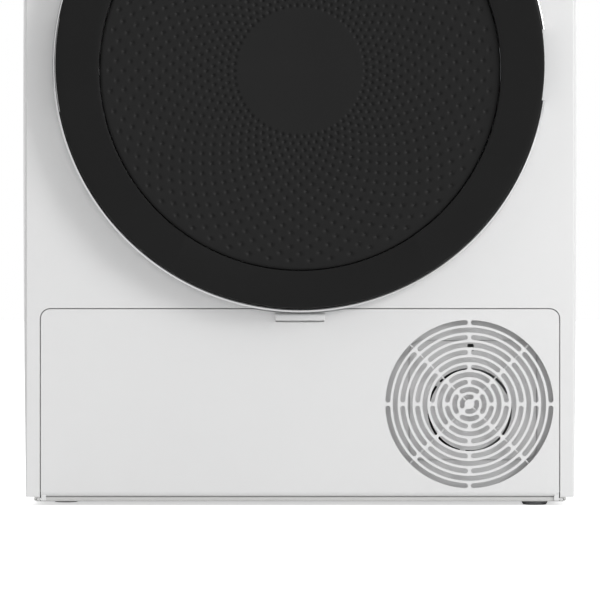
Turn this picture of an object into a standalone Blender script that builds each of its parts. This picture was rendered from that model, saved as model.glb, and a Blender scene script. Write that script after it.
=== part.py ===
"""Front-loading heat-pump clothes dryer, built up from its separate pieces.

Lengths are in millimetres and MM turns them into Blender's metres. +Z is up, the front faces -Y, and
the origin is on the floor under the middle of the machine. Each piece is one named object. Pieces that
move together hang from an empty on their joint's axis.
"""

import math

import bmesh
import bpy
from mathutils import Matrix, Vector

MM = 0.001
GAP = 0.3  # between pieces that touch

# Cabinet
HEIGHT = 845.0
FRONT_Y = -284.0  # outer face of the front panel
REAR_Y = 285.0  # where the side panels end
COVER_REAR_Y = 320.0  # back of the rear duct cover
SHEET = 1.5
FRONT_HALF = 295.3  # half width of the front panel
INNER_HALF = 293.3  # half width free between the side panels
SIDE_FOOT_HALF = 295.6  # half width over the side panels at the floor
SIDE_BOW = 2.8  # how far the side panels bow outwards at mid height
SIDE_BOTTOM = 10.0
FASCIA_BOTTOM = 746.0
FASCIA_TOP = 815.0
BASE_BOTTOM = 4.5

# Door, loading mouth and drum
DOOR_Z = 474.0
DOOR_RADIUS = 262.6  # black ring
TRIM_RADIUS = 265.6  # bright rim round it
DISH_RADIUS = 214.6
DISH_Z = 467.6  # the dish sits a little below the middle of the ring
DOOR_FRONT_Y = -320.0
DOOR_BACK_Y = -288.0
HINGE_X, HINGE_Y = 254.0, -303.0
MOUTH_RADIUS = 188.0
DRUM_Z = 500.0
DRUM_RADIUS = 262.0
DRUM_FRONT_Y, DRUM_BACK_Y = -215.0, 249.0
ROUND = 40  # sides of the large turned pieces

# Rollers and belt drive
ROLLER_RADIUS = 35.0
ROLLER_ANGLE = math.radians(38.0)
MOTOR_X, MOTOR_Z = 175.0, 150.0
PULLEY_RADIUS = 15.0
IDLER_RADIUS = 12.0
IDLER_PIVOT = (100.0, 150.0)
BELT_FRONT_Y, BELT_BACK_Y = 90.0, 98.0
BELT_THICK = 1.6
BELT_GAP = 0.9  # clears the corners of the drum's flat sides

# Service flap
FLAP_HALF = 279.5
FLAP_BOTTOM, FLAP_TOP = 9.4, 212.0
FLAP_HOLLOW = 266.4  # the middle of the top edge is hollowed round the door's rim
FLAP_AXIS_Y, FLAP_AXIS_Z = -282.6, 7.0
FLAP_PIN = 1.4
GRILLE_X, GRILLE_Z = 182.6, 109.5
GRILLE_PITCH = 8.0
FAN_X, FAN_Z = 183.6, 102.4

# Controls and water tank
KNOB_Z = 780.0
POWER_X, START_X = 210.0, 255.0
TANK_RIGHT = -110.5

# Feet: x, y
FEET = {
    "front_right": (254.7, -258.0),
    "front_left": (-257.0, -215.0),
    "rear_right": (250.0, 250.0),
    "rear_left": (-250.0, 250.0),
}

for old in list(bpy.data.objects):
    bpy.data.objects.remove(old, do_unlink=True)

PARTS = bpy.data.collections.new("clothes_dryer")
CUTTERS = bpy.data.collections.new("cutters")
bpy.context.scene.collection.children.link(PARTS)
bpy.context.scene.collection.children.link(CUTTERS)


# ---------------------------------------------------------------- materials


def finish_of(name, colour, roughness, metallic=0.0):
    """A Principled material of one colour."""
    made = bpy.data.materials.new(name)
    made.use_nodes = True
    shader = made.node_tree.nodes["Principled BSDF"]
    shader.inputs["Base Color"].default_value = (*colour, 1.0)
    shader.inputs["Roughness"].default_value = roughness
    shader.inputs["Metallic"].default_value = metallic
    return made


WHITE_PAINT = finish_of("white_paint", (0.80, 0.80, 0.79), 0.35)
WHITE_PLASTIC = finish_of("white_plastic", (0.78, 0.78, 0.77), 0.40)
BLACK_GLOSS = finish_of("black_gloss", (0.02, 0.02, 0.022), 0.12)
DARK_PLASTIC = finish_of("dark_plastic", (0.06, 0.06, 0.065), 0.45)
GREY_PLASTIC = finish_of("grey_plastic", (0.35, 0.36, 0.37), 0.50)
CHROME = finish_of("chrome", (0.75, 0.75, 0.76), 0.08, 1.0)
STEEL = finish_of("steel", (0.60, 0.60, 0.61), 0.28, 1.0)
ZINC = finish_of("zinc", (0.52, 0.54, 0.56), 0.42, 1.0)
ALUMINIUM = finish_of("aluminium", (0.70, 0.71, 0.72), 0.35, 1.0)
COPPER = finish_of("copper", (0.70, 0.36, 0.20), 0.30, 1.0)
RUBBER = finish_of("rubber", (0.03, 0.03, 0.03), 0.80)
BLACK_PAINT = finish_of("black_paint", (0.04, 0.04, 0.045), 0.40)
SMOKED_GLASS = finish_of("smoked_glass", (0.01, 0.01, 0.012), 0.06)
CLEAR = finish_of("clear_lens", (0.75, 0.76, 0.74), 0.15)
BOARD_GREEN = finish_of("board_green", (0.03, 0.18, 0.08), 0.45)


# ---------------------------------------------------------------- shaping tools


def keep(piece, name, material):
    """Names a finished piece, gives it its material and files it with the parts."""
    piece.name = name
    piece.data.name = name
    piece.data.materials.clear()
    piece.data.materials.append(material)
    for home in list(piece.users_collection):
        home.objects.unlink(piece)
    PARTS.objects.link(piece)
    return piece


def file_cutter(piece):
    """Hides a shape that only cuts or joins another."""
    for home in list(piece.users_collection):
        home.objects.unlink(piece)
    CUTTERS.objects.link(piece)
    piece.hide_render = True
    piece.display_type = "WIRE"
    return piece


def box(low, high):
    """A box between two corners."""
    middle = [(a + b) / 2 * MM for a, b in zip(low, high)]
    bpy.ops.mesh.primitive_cube_add(size=1.0, location=middle)
    piece = bpy.context.object
    piece.scale = [(b - a) * MM for a, b in zip(low, high)]
    bpy.ops.object.transform_apply(location=False, rotation=False, scale=True)
    return piece


def rod(radius, start, end, sides=20):
    """A round bar between two points."""
    start, end = Vector(start) * MM, Vector(end) * MM
    along = end - start
    bpy.ops.mesh.primitive_cylinder_add(
        vertices=sides, radius=radius * MM, depth=along.length, location=(start + end) / 2,
        rotation=along.to_track_quat("Z", "Y").to_euler())
    return bpy.context.object


def ring_area(profile):
    """Twice the signed area of a profile, positive when it runs anticlockwise."""
    pairs = zip(profile, profile[1:] + profile[:1])
    return sum(a[0] * b[1] - b[0] * a[1] for a, b in pairs)


def turned(profile, x, z, sides=ROUND, closed=True):
    """Turns a profile of (radius, y) points about the line along Y through x, z.

    A closed profile makes a ring. An open one starts and ends on the axis, its outer side running
    from the rear to the front.
    """
    if closed and ring_area(profile) > 0:
        profile = profile[::-1]
    mesh = bpy.data.meshes.new("turned")
    points = [(radius * MM, 0.0, y * MM) for radius, y in profile]
    count = len(points)
    edges = [(i, (i + 1) % count) for i in range(count if closed else count - 1)]
    mesh.from_pydata(points, edges, [])
    piece = bpy.data.objects.new("turned", mesh)
    bpy.context.scene.collection.objects.link(piece)
    piece.location = (x * MM, 0.0, z * MM)
    piece.rotation_euler = (-math.pi / 2, 0.0, 0.0)
    screw = piece.modifiers.new("Turn", "SCREW")
    screw.angle = math.tau
    screw.steps = sides
    screw.render_steps = sides
    screw.use_merge_vertices = True
    screw.merge_threshold = 0.00001
    screw.use_smooth_shade = True
    return piece


def outline_plate(outlines, front, back):
    """A flat plate facing along Y. The first outline of (x, z) points is its edge, the others holes."""
    curve = bpy.data.curves.new("outline", "CURVE")
    curve.dimensions = "2D"
    curve.fill_mode = "BOTH"
    curve.extrude = (back - front) / 2 * MM
    for outline in outlines:
        spline = curve.splines.new("POLY")
        spline.points.add(len(outline) - 1)
        for point, (x, z) in zip(spline.points, outline):
            point.co = (x * MM, z * MM, 0.0, 1.0)
        spline.use_cyclic_u = True
    flat = bpy.data.objects.new("outline", curve)
    flat.rotation_euler = (math.pi / 2, 0.0, 0.0)
    flat.location = (0.0, (front + back) / 2 * MM, 0.0)
    return solid_from_curve(flat)


def tube(points, radius):
    """A bent pipe through a list of points."""
    curve = bpy.data.curves.new("tube", "CURVE")
    curve.dimensions = "3D"
    curve.bevel_depth = radius * MM
    curve.bevel_resolution = 1
    curve.use_fill_caps = True
    spline = curve.splines.new("POLY")
    spline.points.add(len(points) - 1)
    for point, place in zip(spline.points, points):
        point.co = (*(Vector(place) * MM), 1.0)
    return solid_from_curve(bpy.data.objects.new("tube", curve))


def solid_from_curve(source):
    """The mesh of a curve object, with its loose caps welded on."""
    bpy.context.scene.collection.objects.link(source)
    depsgraph = bpy.context.evaluated_depsgraph_get()
    mesh = bpy.data.meshes.new_from_object(source.evaluated_get(depsgraph))
    sheet = bmesh.new()
    sheet.from_mesh(mesh)
    bmesh.ops.remove_doubles(sheet, verts=sheet.verts, dist=0.000001)
    bmesh.ops.recalc_face_normals(sheet, faces=sheet.faces)
    sheet.to_mesh(mesh)
    sheet.free()
    piece = bpy.data.objects.new("solid", mesh)
    piece.matrix_world = source.matrix_world.copy()
    bpy.context.scene.collection.objects.link(piece)
    bpy.data.objects.remove(source, do_unlink=True)
    return piece


def combine(piece, other, operation):
    """Cuts another shape out of a piece, or joins it on, with a Boolean modifier."""
    step = piece.modifiers.new(operation.title(), "BOOLEAN")
    step.operation = operation
    step.object = file_cutter(other)
    return piece


def cut(piece, *others):
    for other in others:
        combine(piece, other, "DIFFERENCE")
    return piece


def join(piece, *others):
    for other in others:
        combine(piece, other, "UNION")
    return piece


def circle(x, z, radius, sides):
    """Points round a circle in the front view."""
    return [(x + radius * math.cos(math.tau * i / sides), z + radius * math.sin(math.tau * i / sides))
            for i in range(sides)]


def arc(x, z, radius, start, end, steps):
    """Points along an arc in the front view, angles in degrees."""
    return [(x + radius * math.cos(math.radians(start + (end - start) * i / steps)),
             z + radius * math.sin(math.radians(start + (end - start) * i / steps)))
            for i in range(steps + 1)]


def rounded(x_low, z_low, x_high, z_high, radius, steps=4):
    """The outline of a rectangle with round corners."""
    return (arc(x_high - radius, z_low + radius, radius, -90, 0, steps)
            + arc(x_high - radius, z_high - radius, radius, 0, 90, steps)
            + arc(x_low + radius, z_high - radius, radius, 90, 180, steps)
            + arc(x_low + radius, z_low + radius, radius, 180, 270, steps))


def sector(x, z, inner, outer, start, end, steps):
    """The outline of a piece of a flat ring."""
    return arc(x, z, outer, start, end, steps) + arc(x, z, inner, end, start, steps)


def hang(place, name, *pieces, parent=None):
    """Hangs pieces from an empty on their joint's axis, without moving them."""
    pivot = bpy.data.objects.new(name, None)
    PARTS.objects.link(pivot)
    pivot.location = Vector(place) * MM
    if parent:
        pivot.parent = parent
        pivot.matrix_parent_inverse = Matrix.Translation(-parent.location)
    bpy.context.view_layer.update()
    for piece in pieces:
        piece.parent = pivot
        piece.matrix_parent_inverse = pivot.matrix_world.inverted()
    return pivot


# ---------------------------------------------------------------- cabinet


def side_half_width(z):
    """Half width over the side panels at a height: a slight outward bow."""
    middle = (SIDE_BOTTOM + FASCIA_TOP) / 2
    reach = (FASCIA_TOP - SIDE_BOTTOM) / 2
    return SIDE_FOOT_HALF + SIDE_BOW * (1 - ((z - middle) / reach) ** 2)


def side_panel(name, sign):
    rows = 10
    heights = [SIDE_BOTTOM + (FASCIA_TOP - SIDE_BOTTOM) * i / rows for i in range(rows + 1)]
    outer = [(sign * side_half_width(z), z) for z in heights]
    inner = [(sign * (side_half_width(z) - SHEET), z) for z in reversed(heights)]
    keep(outline_plate([outer + inner], FRONT_Y + SHEET + GAP, REAR_Y), name, WHITE_PAINT)


def flap_outline(spread):
    """The service flap's edge, grown outwards by a clearance."""
    half, top, corner = FLAP_HALF + spread, FLAP_TOP + spread, 10.5 + spread
    hollow = FLAP_HOLLOW - spread
    lean = math.degrees(math.acos((DOOR_Z - top) / hollow))
    return ([(-half, FLAP_BOTTOM - spread), (half, FLAP_BOTTOM - spread)]
            + arc(half - corner, top - corner, corner, 0, 90, 4)
            + arc(0, DOOR_Z, hollow, lean - 90, -90 - lean, 8)
            + arc(corner - half, top - corner, corner, 90, 180, 4))


def front_panel():
    flap = [point for point in flap_outline(1.0) if point[1] > FLAP_BOTTOM]
    edge = ([(FRONT_HALF, FLAP_BOTTOM), (FRONT_HALF, FASCIA_BOTTOM - GAP),
             (-FRONT_HALF, FASCIA_BOTTOM - GAP), (-FRONT_HALF, FLAP_BOTTOM),
             (-FLAP_HALF - 1, FLAP_BOTTOM)] + flap[::-1] + [(FLAP_HALF + 1, FLAP_BOTTOM)])
    mouth = circle(0, DOOR_Z, MOUTH_RADIUS + 4, ROUND)
    latch_slot = rounded(-219, DOOR_Z - 11, -202, DOOR_Z + 11, 2, 1)
    piece = outline_plate([edge, mouth, latch_slot], FRONT_Y, FRONT_Y + SHEET)
    keep(piece, "front_panel", WHITE_PAINT)


def rear_panel():
    half = SIDE_FOOT_HALF - SHEET - 1
    holes = [circle(MOTOR_X, MOTOR_Z, 45, 20)]
    for middle in (30, 150, 270):
        holes.append(sector(0, DRUM_Z, 95, 225, middle - 48, middle + 48, 8))
    edge = [(-half, 12), (half, 12), (half, FASCIA_TOP), (-half, FASCIA_TOP)]
    piece = outline_plate([edge] + holes, REAR_Y + GAP, REAR_Y + GAP + SHEET)
    keep(piece, "rear_panel", ZINC)


def duct_outline(inset):
    """A big circle over the drum with a leg down to the fan: two circles and their outer tangents."""
    return belt_outline((0, DRUM_Z, 240 - inset), (MOTOR_X, MOTOR_Z, 72 - inset), 28)


def belt_outline(big, small, steps):
    """The outline of a band stretched over two circles, each an (x, z, radius)."""
    across, up = small[0] - big[0], small[1] - big[1]
    heading = math.degrees(math.atan2(up, across))
    lean = math.degrees(math.acos((big[2] - small[2]) / math.hypot(across, up)))
    return (arc(*big, heading + lean, heading + 360 - lean, steps)
            + arc(*small, heading - lean, heading + lean, steps // 4))


def rear_duct_cover():
    front = REAR_Y + 2 * GAP + SHEET
    piece = outline_plate([duct_outline(0)], front, COVER_REAR_Y)
    hollow = outline_plate([duct_outline(3)], front - 5, COVER_REAR_Y - 3)
    keep(cut(piece, hollow), "rear_duct_cover", GREY_PLASTIC)


def top_panel():
    half, front, back = SIDE_FOOT_HALF + SIDE_BOW - 0.6, FRONT_Y - 1, REAR_Y + 2
    low = FASCIA_TOP + GAP
    piece = box((-half, front, low), (half, back, HEIGHT))
    hollow = box((-half + 3, front + 3, low - 5), (half - 3, back - 3, HEIGHT - 18))
    keep(cut(piece, hollow), "top_panel", WHITE_PLASTIC)


def base_tray():
    """The moulded base: a tray with foot bosses, a front lip and two ears for the flap's pins.

    Its front wall is low, so the opened flap leaves the way to the works free.
    """
    half, front, back = 288.0, -272.0, 281.0
    piece = box((-half, front, BASE_BOTTOM), (half, back, 45))
    hollow = box((-half + 3, front + 3, 10), (half - 3, back - 3, 60))
    cut(piece, hollow)
    cut(piece, box((-half + 3, front - 5, 12.5), (half - 3, front + 4, 60)))
    join(piece, box((-270, -281, BASE_BOTTOM), (270, front + 1, 8.7)))
    for x, y in FEET.values():
        join(piece, rod(10, (x, y, 8), (x, y, 34), 16))
    for sign in (-1, 1):
        near, far = sorted((sign * 280.2, sign * 286.5))
        join(piece, box((near, FRONT_Y, BASE_BOTTOM), (far, front + 1, 9.1)))
        start, end = sorted((sign * 278, sign * 284.3))
        cut(piece, rod(FLAP_PIN + 0.5, (start, FLAP_AXIS_Y, FLAP_AXIS_Z), (end, FLAP_AXIS_Y, FLAP_AXIS_Z), 12))
    for x, y in FEET.values():
        cut(piece, rod(5.4, (x, y, 0), (x, y, 50), 12))
    keep(piece, "base_tray", GREY_PLASTIC)


def cabinet():
    side_panel("left_side_panel", -1)
    side_panel("right_side_panel", 1)
    front_panel()
    rear_panel()
    rear_duct_cover()
    top_panel()
    base_tray()
    back = REAR_Y + GAP + SHEET + GAP
    keep(box((-262, back, 70), (-222, back + 22, 110)), "power_inlet", DARK_PLASTIC)
    spout = turned([(0, back + 26), (8, back + 26), (8, back + 4), (14, back + 4), (14, back), (0, back)],
                   -242, 150, 20, closed=False)
    keep(spout, "drain_spigot", GREY_PLASTIC)


def feet():
    """Each foot: a rubber-shod disc on a threaded stem that screws down out of the base."""
    for place, (x, y) in FEET.items():
        bpy.ops.mesh.primitive_cone_add(vertices=24, radius1=13.2 * MM, radius2=14.8 * MM,
                                        depth=4.2 * MM, location=(x * MM, y * MM, 2.1 * MM))
        disc = bpy.context.object
        join(disc, rod(5, (x, y, 2), (x, y, 40), 12))
        keep(disc, "foot_" + place, RUBBER)
        hang((x, y, 0), "pivot_foot_" + place, disc)


# ---------------------------------------------------------------- controls


def push_button(name, x, radius, material):
    """A round cap on a thin stem."""
    cap = turned([(0, FRONT_Y + 22), (2, FRONT_Y + 22), (2, FRONT_Y + 6), (radius, FRONT_Y + 6),
                  (radius, FRONT_Y - 1.5), (radius - 1, FRONT_Y - 2.5), (0, FRONT_Y - 2.5)],
                 x, KNOB_Z, 24, closed=False)
    keep(cap, name, material)
    hang((x, FRONT_Y, KNOB_Z), "pivot_" + name, cap)


def controls():
    low, high = (TANK_RIGHT + GAP, FRONT_Y, FASCIA_BOTTOM), (INNER_HALF, -250.0, FASCIA_TOP)
    fascia = box(low, high)
    join(fascia, box((high[0] - 1, FRONT_Y, low[2]), (FRONT_HALF, FRONT_Y + SHEET, high[2])))
    cut(fascia, box((low[0] + 2.5, FRONT_Y + 2.5, low[2] + 2.5), (high[0] - 2.5, -240, high[2] - 2.5)))
    cut(fascia, box((59.5, FRONT_Y - 5, 763.5), (180.5, FRONT_Y + 5, 797.5)))
    cut(fascia, rod(5, (0, FRONT_Y - 5, KNOB_Z), (0, FRONT_Y + 5, KNOB_Z), 16))
    for x, radius in ((POWER_X, 9.0), (START_X, 11.0)):
        cut(fascia, rod(radius + 0.5, (x, FRONT_Y - 5, KNOB_Z), (x, FRONT_Y + 5, KNOB_Z), 24))
        push_button("power_button" if x == POWER_X else "start_button", x, radius, CHROME)
    keep(fascia, "control_fascia", WHITE_PLASTIC)
    keep(box((60, FRONT_Y, 764), (180, FRONT_Y + 2.5, 797)), "display_window", SMOKED_GLASS)
    keep(box((20, -258, 757), (285, -256, 803)), "control_board", BOARD_GREEN)

    knob = turned([(0, -262), (4, -262), (4, FRONT_Y - 0.5), (24, FRONT_Y - 0.5), (23.2, FRONT_Y - 17),
                   (21.5, FRONT_Y - 18.5), (0, FRONT_Y - 18.5)], 0, KNOB_Z, 28, closed=False)
    keep(knob, "program_knob", CHROME)
    hang((0, FRONT_Y, KNOB_Z), "pivot_program_knob", knob)


# ---------------------------------------------------------------- water tank


def water_tank():
    left, right, low, high = -287.0, -119.5, 752.0, 809.0
    front, back = -271.7, 185.0
    tank = box((left, front, low), (right, back, high))
    cut(tank, box((left + 2.5, front + 2.5, low + 2.5), (right - 2.5, back - 2.5, high - 2.5)))
    cut(tank, box((-240, 100, high - 10), (-170, 160, high + 10)))
    keep(tank, "water_tank", GREY_PLASTIC)

    handle = box((-INNER_HALF, FRONT_Y, FASCIA_BOTTOM), (TANK_RIGHT, -272, FASCIA_TOP))
    join(handle, box((-FRONT_HALF, FRONT_Y, FASCIA_BOTTOM), (1 - INNER_HALF, FRONT_Y + SHEET, FASCIA_TOP)))
    cut(handle, box((-246, FRONT_Y - 5, 766), (-160, -276, 792)))
    cut(handle, box((-246, FRONT_Y + 3, 780), (-160, -276, 802)))
    keep(handle, "tank_handle", WHITE_PLASTIC)
    hang((TANK_RIGHT, FRONT_Y, FASCIA_BOTTOM), "pivot_water_tank", tank, handle)

    tray = box((-292, -268, 746), (-114, 190, 811))
    cut(tray, box((left - 1.5, -280, 749), (right + 2.5, 186.5, 830)))
    keep(tray, "tank_housing", GREY_PLASTIC)


# ---------------------------------------------------------------- loading mouth


def loading_mouth():
    """The ring that joins the front panel to the drum, with the lint filter's pocket in its foot."""
    ring = turned([(MOUTH_RADIUS, FRONT_Y), (MOUTH_RADIUS + 3.4, FRONT_Y), (MOUTH_RADIUS + 3.4, -232),
                   (286, -232), (286, -229), (MOUTH_RADIUS + 3.4, -229), (MOUTH_RADIUS + 3.4, -205),
                   (MOUTH_RADIUS, -205)], 0, DOOR_Z)
    join(ring, box((-85, -262, 196), (85, -240, 310)))
    cut(ring, rod(MOUTH_RADIUS, (0, -300, DOOR_Z), (0, -190, DOOR_Z), ROUND))
    cut(ring, box((-81, -258, 199.5), (81, -244, 330)))
    keep(ring, "loading_mouth", GREY_PLASTIC)

    screen = box((-80, -256.5, 200), (80, -245.5, 297))
    for column in range(3):
        x = -74 + 50.5 * column
        cut(screen, box((x, -253, 206), (x + 46.5, -240, 278)))
    keep(screen, "lint_filter", DARK_PLASTIC)
    hang((0, -251, 200), "pivot_lint_filter", screen)

    keep(box((-20, -240, 652), (20, -215, 660)), "drum_lamp", CLEAR)

    lock = box((-226, FRONT_Y + SHEET + GAP, DOOR_Z - 24), (-196, -262, DOOR_Z + 24))
    cut(lock, box((-219, -300, DOOR_Z - 11), (-202, -264, DOOR_Z + 11)))
    keep(lock, "door_lock", DARK_PLASTIC)


# ---------------------------------------------------------------- door


def door():
    grip = ((-300, -309, DOOR_Z - 50), (-240, -280, DOOR_Z + 50))
    trim_grip = ((-300, -301, DOOR_Z - 50), (-240, -280, DOOR_Z + 50))
    hinge_room = ((236, -312, DOOR_Z - 38), (300, -280, DOOR_Z + 38))

    ring = turned([(DOOR_RADIUS, -291), (DOOR_RADIUS, -301), (DOOR_RADIUS - 1.5, -301), (DOOR_RADIUS - 1.5, -307),
                   (257, -318), (252, DOOR_FRONT_Y), (226, -316.5), (205, -313.5), (205, -311), (226, -313.8),
                   (250.5, -317.2), (254.5, -315), (DOOR_RADIUS - 4.2, -306), (DOOR_RADIUS - 2.6, -299),
                   (DOOR_RADIUS - 2.6, -291)], 0, DOOR_Z)
    cut(ring, rod(DISH_RADIUS, (0, -330, DISH_Z), (0, -290, DISH_Z), ROUND))
    keep(cut(ring, box(*grip), box(*hinge_room)), "door_ring", BLACK_GLOSS)

    inner = DOOR_RADIUS + GAP
    trim = turned([(inner, -304), (TRIM_RADIUS - 1.5, -303), (TRIM_RADIUS, -300), (TRIM_RADIUS, -291),
                   (TRIM_RADIUS - 1, -289.5), (inner, -289.5)], 0, DOOR_Z)
    keep(cut(trim, box(*trim_grip), box(*hinge_room)), "door_trim", CHROME)

    dish = turned([(0, -300), (100, -302.5), (180, -307), (DISH_RADIUS - 0.4, -309.6), (DISH_RADIUS - 0.4, -312.4),
                   (180, -310), (100, -305.5), (0, -303)], 0, DISH_Z, closed=False)
    keep(dish, "door_dish", DARK_PLASTIC)

    rim = DOOR_RADIUS - 2.6 - GAP
    shell = turned([(0, -262), (118, -262), (144, -266), (158, DOOR_BACK_Y), (rim, DOOR_BACK_Y),
                    (rim, -290.6), (156, -290.6), (141.5, -268.6), (117, -264.6), (0, -264.6)],
                   0, DOOR_Z, closed=False)
    keep(cut(shell, box(*grip), box(*hinge_room)), "door_inner_shell", GREY_PLASTIC)

    seal = turned([(202, DOOR_BACK_Y + GAP), (202, FRONT_Y - GAP), (210, FRONT_Y - GAP),
                   (210, DOOR_BACK_Y + GAP)], 0, DOOR_Z)
    keep(seal, "door_seal", RUBBER)

    catch = box((-216, -300, DOOR_Z - 14), (-206, -291, DOOR_Z + 14))
    join(catch, box((-213, -292, DOOR_Z - 6), (-209, -268, DOOR_Z + 6)))
    cut(shell, box((-213.4, -300, DOOR_Z - 6.4), (-208.6, -280, DOOR_Z + 6.4)))
    cut(seal, box((-213.4, -300, DOOR_Z - 6.4), (-200, -280, DOOR_Z + 6.4)))
    cut(seal, box((-230, -300, DOOR_Z - 6.4), (-208.6, -280, DOOR_Z + 6.4)))
    keep(catch, "door_catch", STEEL)

    arm = rod(5, (HINGE_X, HINGE_Y, DOOR_Z - 20), (HINGE_X, HINGE_Y, DOOR_Z + 20), 16)
    join(arm, box((200, -306, DOOR_Z - 18), (HINGE_X - 1, -300, DOOR_Z + 18)))
    cut(arm, rod(2.8, (HINGE_X, HINGE_Y, DOOR_Z - 30), (HINGE_X, HINGE_Y, DOOR_Z + 30), 12))
    keep(arm, "door_hinge_arm", ZINC)
    hang((HINGE_X, HINGE_Y, DOOR_Z), "pivot_door", ring, trim, dish, shell, seal, catch, arm)

    base = box((240, FRONT_Y - 3, DOOR_Z - 34), (261, FRONT_Y - GAP, DOOR_Z + 34))
    for side in (-1, 1):
        low, high = sorted((side * 21, side * 33))
        join(base, box((245.5, HINGE_Y, DOOR_Z + low), (252, FRONT_Y - 1, DOOR_Z + high)),
             rod(5, (HINGE_X, HINGE_Y, DOOR_Z + low), (HINGE_X, HINGE_Y, DOOR_Z + high), 16))
    join(base, rod(2.4, (HINGE_X, HINGE_Y, DOOR_Z - 33.5), (HINGE_X, HINGE_Y, DOOR_Z + 33.5), 12))
    keep(base, "door_hinge_base", ZINC)


# ---------------------------------------------------------------- drum


def drum():
    outer = DRUM_RADIUS
    shell = turned([(outer, DRUM_BACK_Y), (outer, DRUM_FRONT_Y + 4), (outer - 4, DRUM_FRONT_Y),
                    (224.5, DRUM_FRONT_Y), (224.5, DRUM_FRONT_Y + SHEET), (outer - 5, DRUM_FRONT_Y + SHEET),
                    (outer - SHEET, DRUM_FRONT_Y + 5), (outer - SHEET, DRUM_BACK_Y)], 0, DRUM_Z)
    keep(shell, "drum_shell", STEEL)

    disc = outer - SHEET - GAP
    wall = turned([(0, 283), (12, 283), (12, 258), (40, 258), (46, 248), (disc, 248), (disc, 246), (0, 246)],
                  0, DRUM_Z, closed=False)
    for step in range(8):
        angle = math.tau * (step + 0.5) / 8
        x, z = 160 * math.cos(angle), DRUM_Z + 160 * math.sin(angle)
        cut(wall, rod(42, (x, 240, z), (x, 256, z), 10))
    keep(wall, "drum_rear_wall", STEEL)

    lifters = []
    foot, crest = outer - 5.5, 212.0
    for step in range(3):
        turn = math.radians(90 + 120 * step)
        section = [(crest, -9), (foot, -35), (foot, 35), (crest, 9)]
        outline = [(radial * math.cos(turn) - side * math.sin(turn),
                    DRUM_Z + radial * math.sin(turn) + side * math.cos(turn)) for radial, side in section]
        lifters.append(keep(outline_plate([outline], -190, 232), f"drum_lifter_{step + 1}", GREY_PLASTIC))
    hang((0, 0, DRUM_Z), "pivot_drum", shell, wall, *lifters)

    bearing = turned([(12.4, 266), (24, 266), (24, REAR_Y), (12.4, REAR_Y)], 0, DRUM_Z, 20)
    keep(bearing, "rear_bearing", STEEL)


def rollers():
    reach = DRUM_RADIUS + ROLLER_RADIUS + GAP
    z = DRUM_Z - reach * math.cos(ROLLER_ANGLE)
    for side, sign in (("left", -1), ("right", 1)):
        x = sign * reach * math.sin(ROLLER_ANGLE)
        wheel = turned([(5.4, -205), (ROLLER_RADIUS, -205), (ROLLER_RADIUS, -183), (5.4, -183)], x, z, 20)
        keep(wheel, "support_roller_" + side, RUBBER)
        hang((x, -194, z), "pivot_roller_" + side, wheel)
        keep(rod(5, (x, -229 + GAP, z), (x, -179, z), 16), "roller_axle_" + side, STEEL)


# ---------------------------------------------------------------- belt drive


def idler_centre():
    """The idler pulley touches the outer side of the belt's lower run."""
    across, up = MOTOR_X, MOTOR_Z - DRUM_Z
    heading = math.atan2(up, across)
    lean = math.acos((DRUM_RADIUS - PULLEY_RADIUS) / math.hypot(across, up))
    normal = Vector((math.cos(heading - lean), math.sin(heading - lean)))
    outside = BELT_GAP + BELT_THICK + GAP + IDLER_RADIUS
    on_drum = Vector((0, DRUM_Z)) + normal * (DRUM_RADIUS + outside)
    on_pulley = Vector((MOTOR_X, MOTOR_Z)) + normal * (PULLEY_RADIUS + outside)
    return on_drum.lerp(on_pulley, 0.5)


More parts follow.
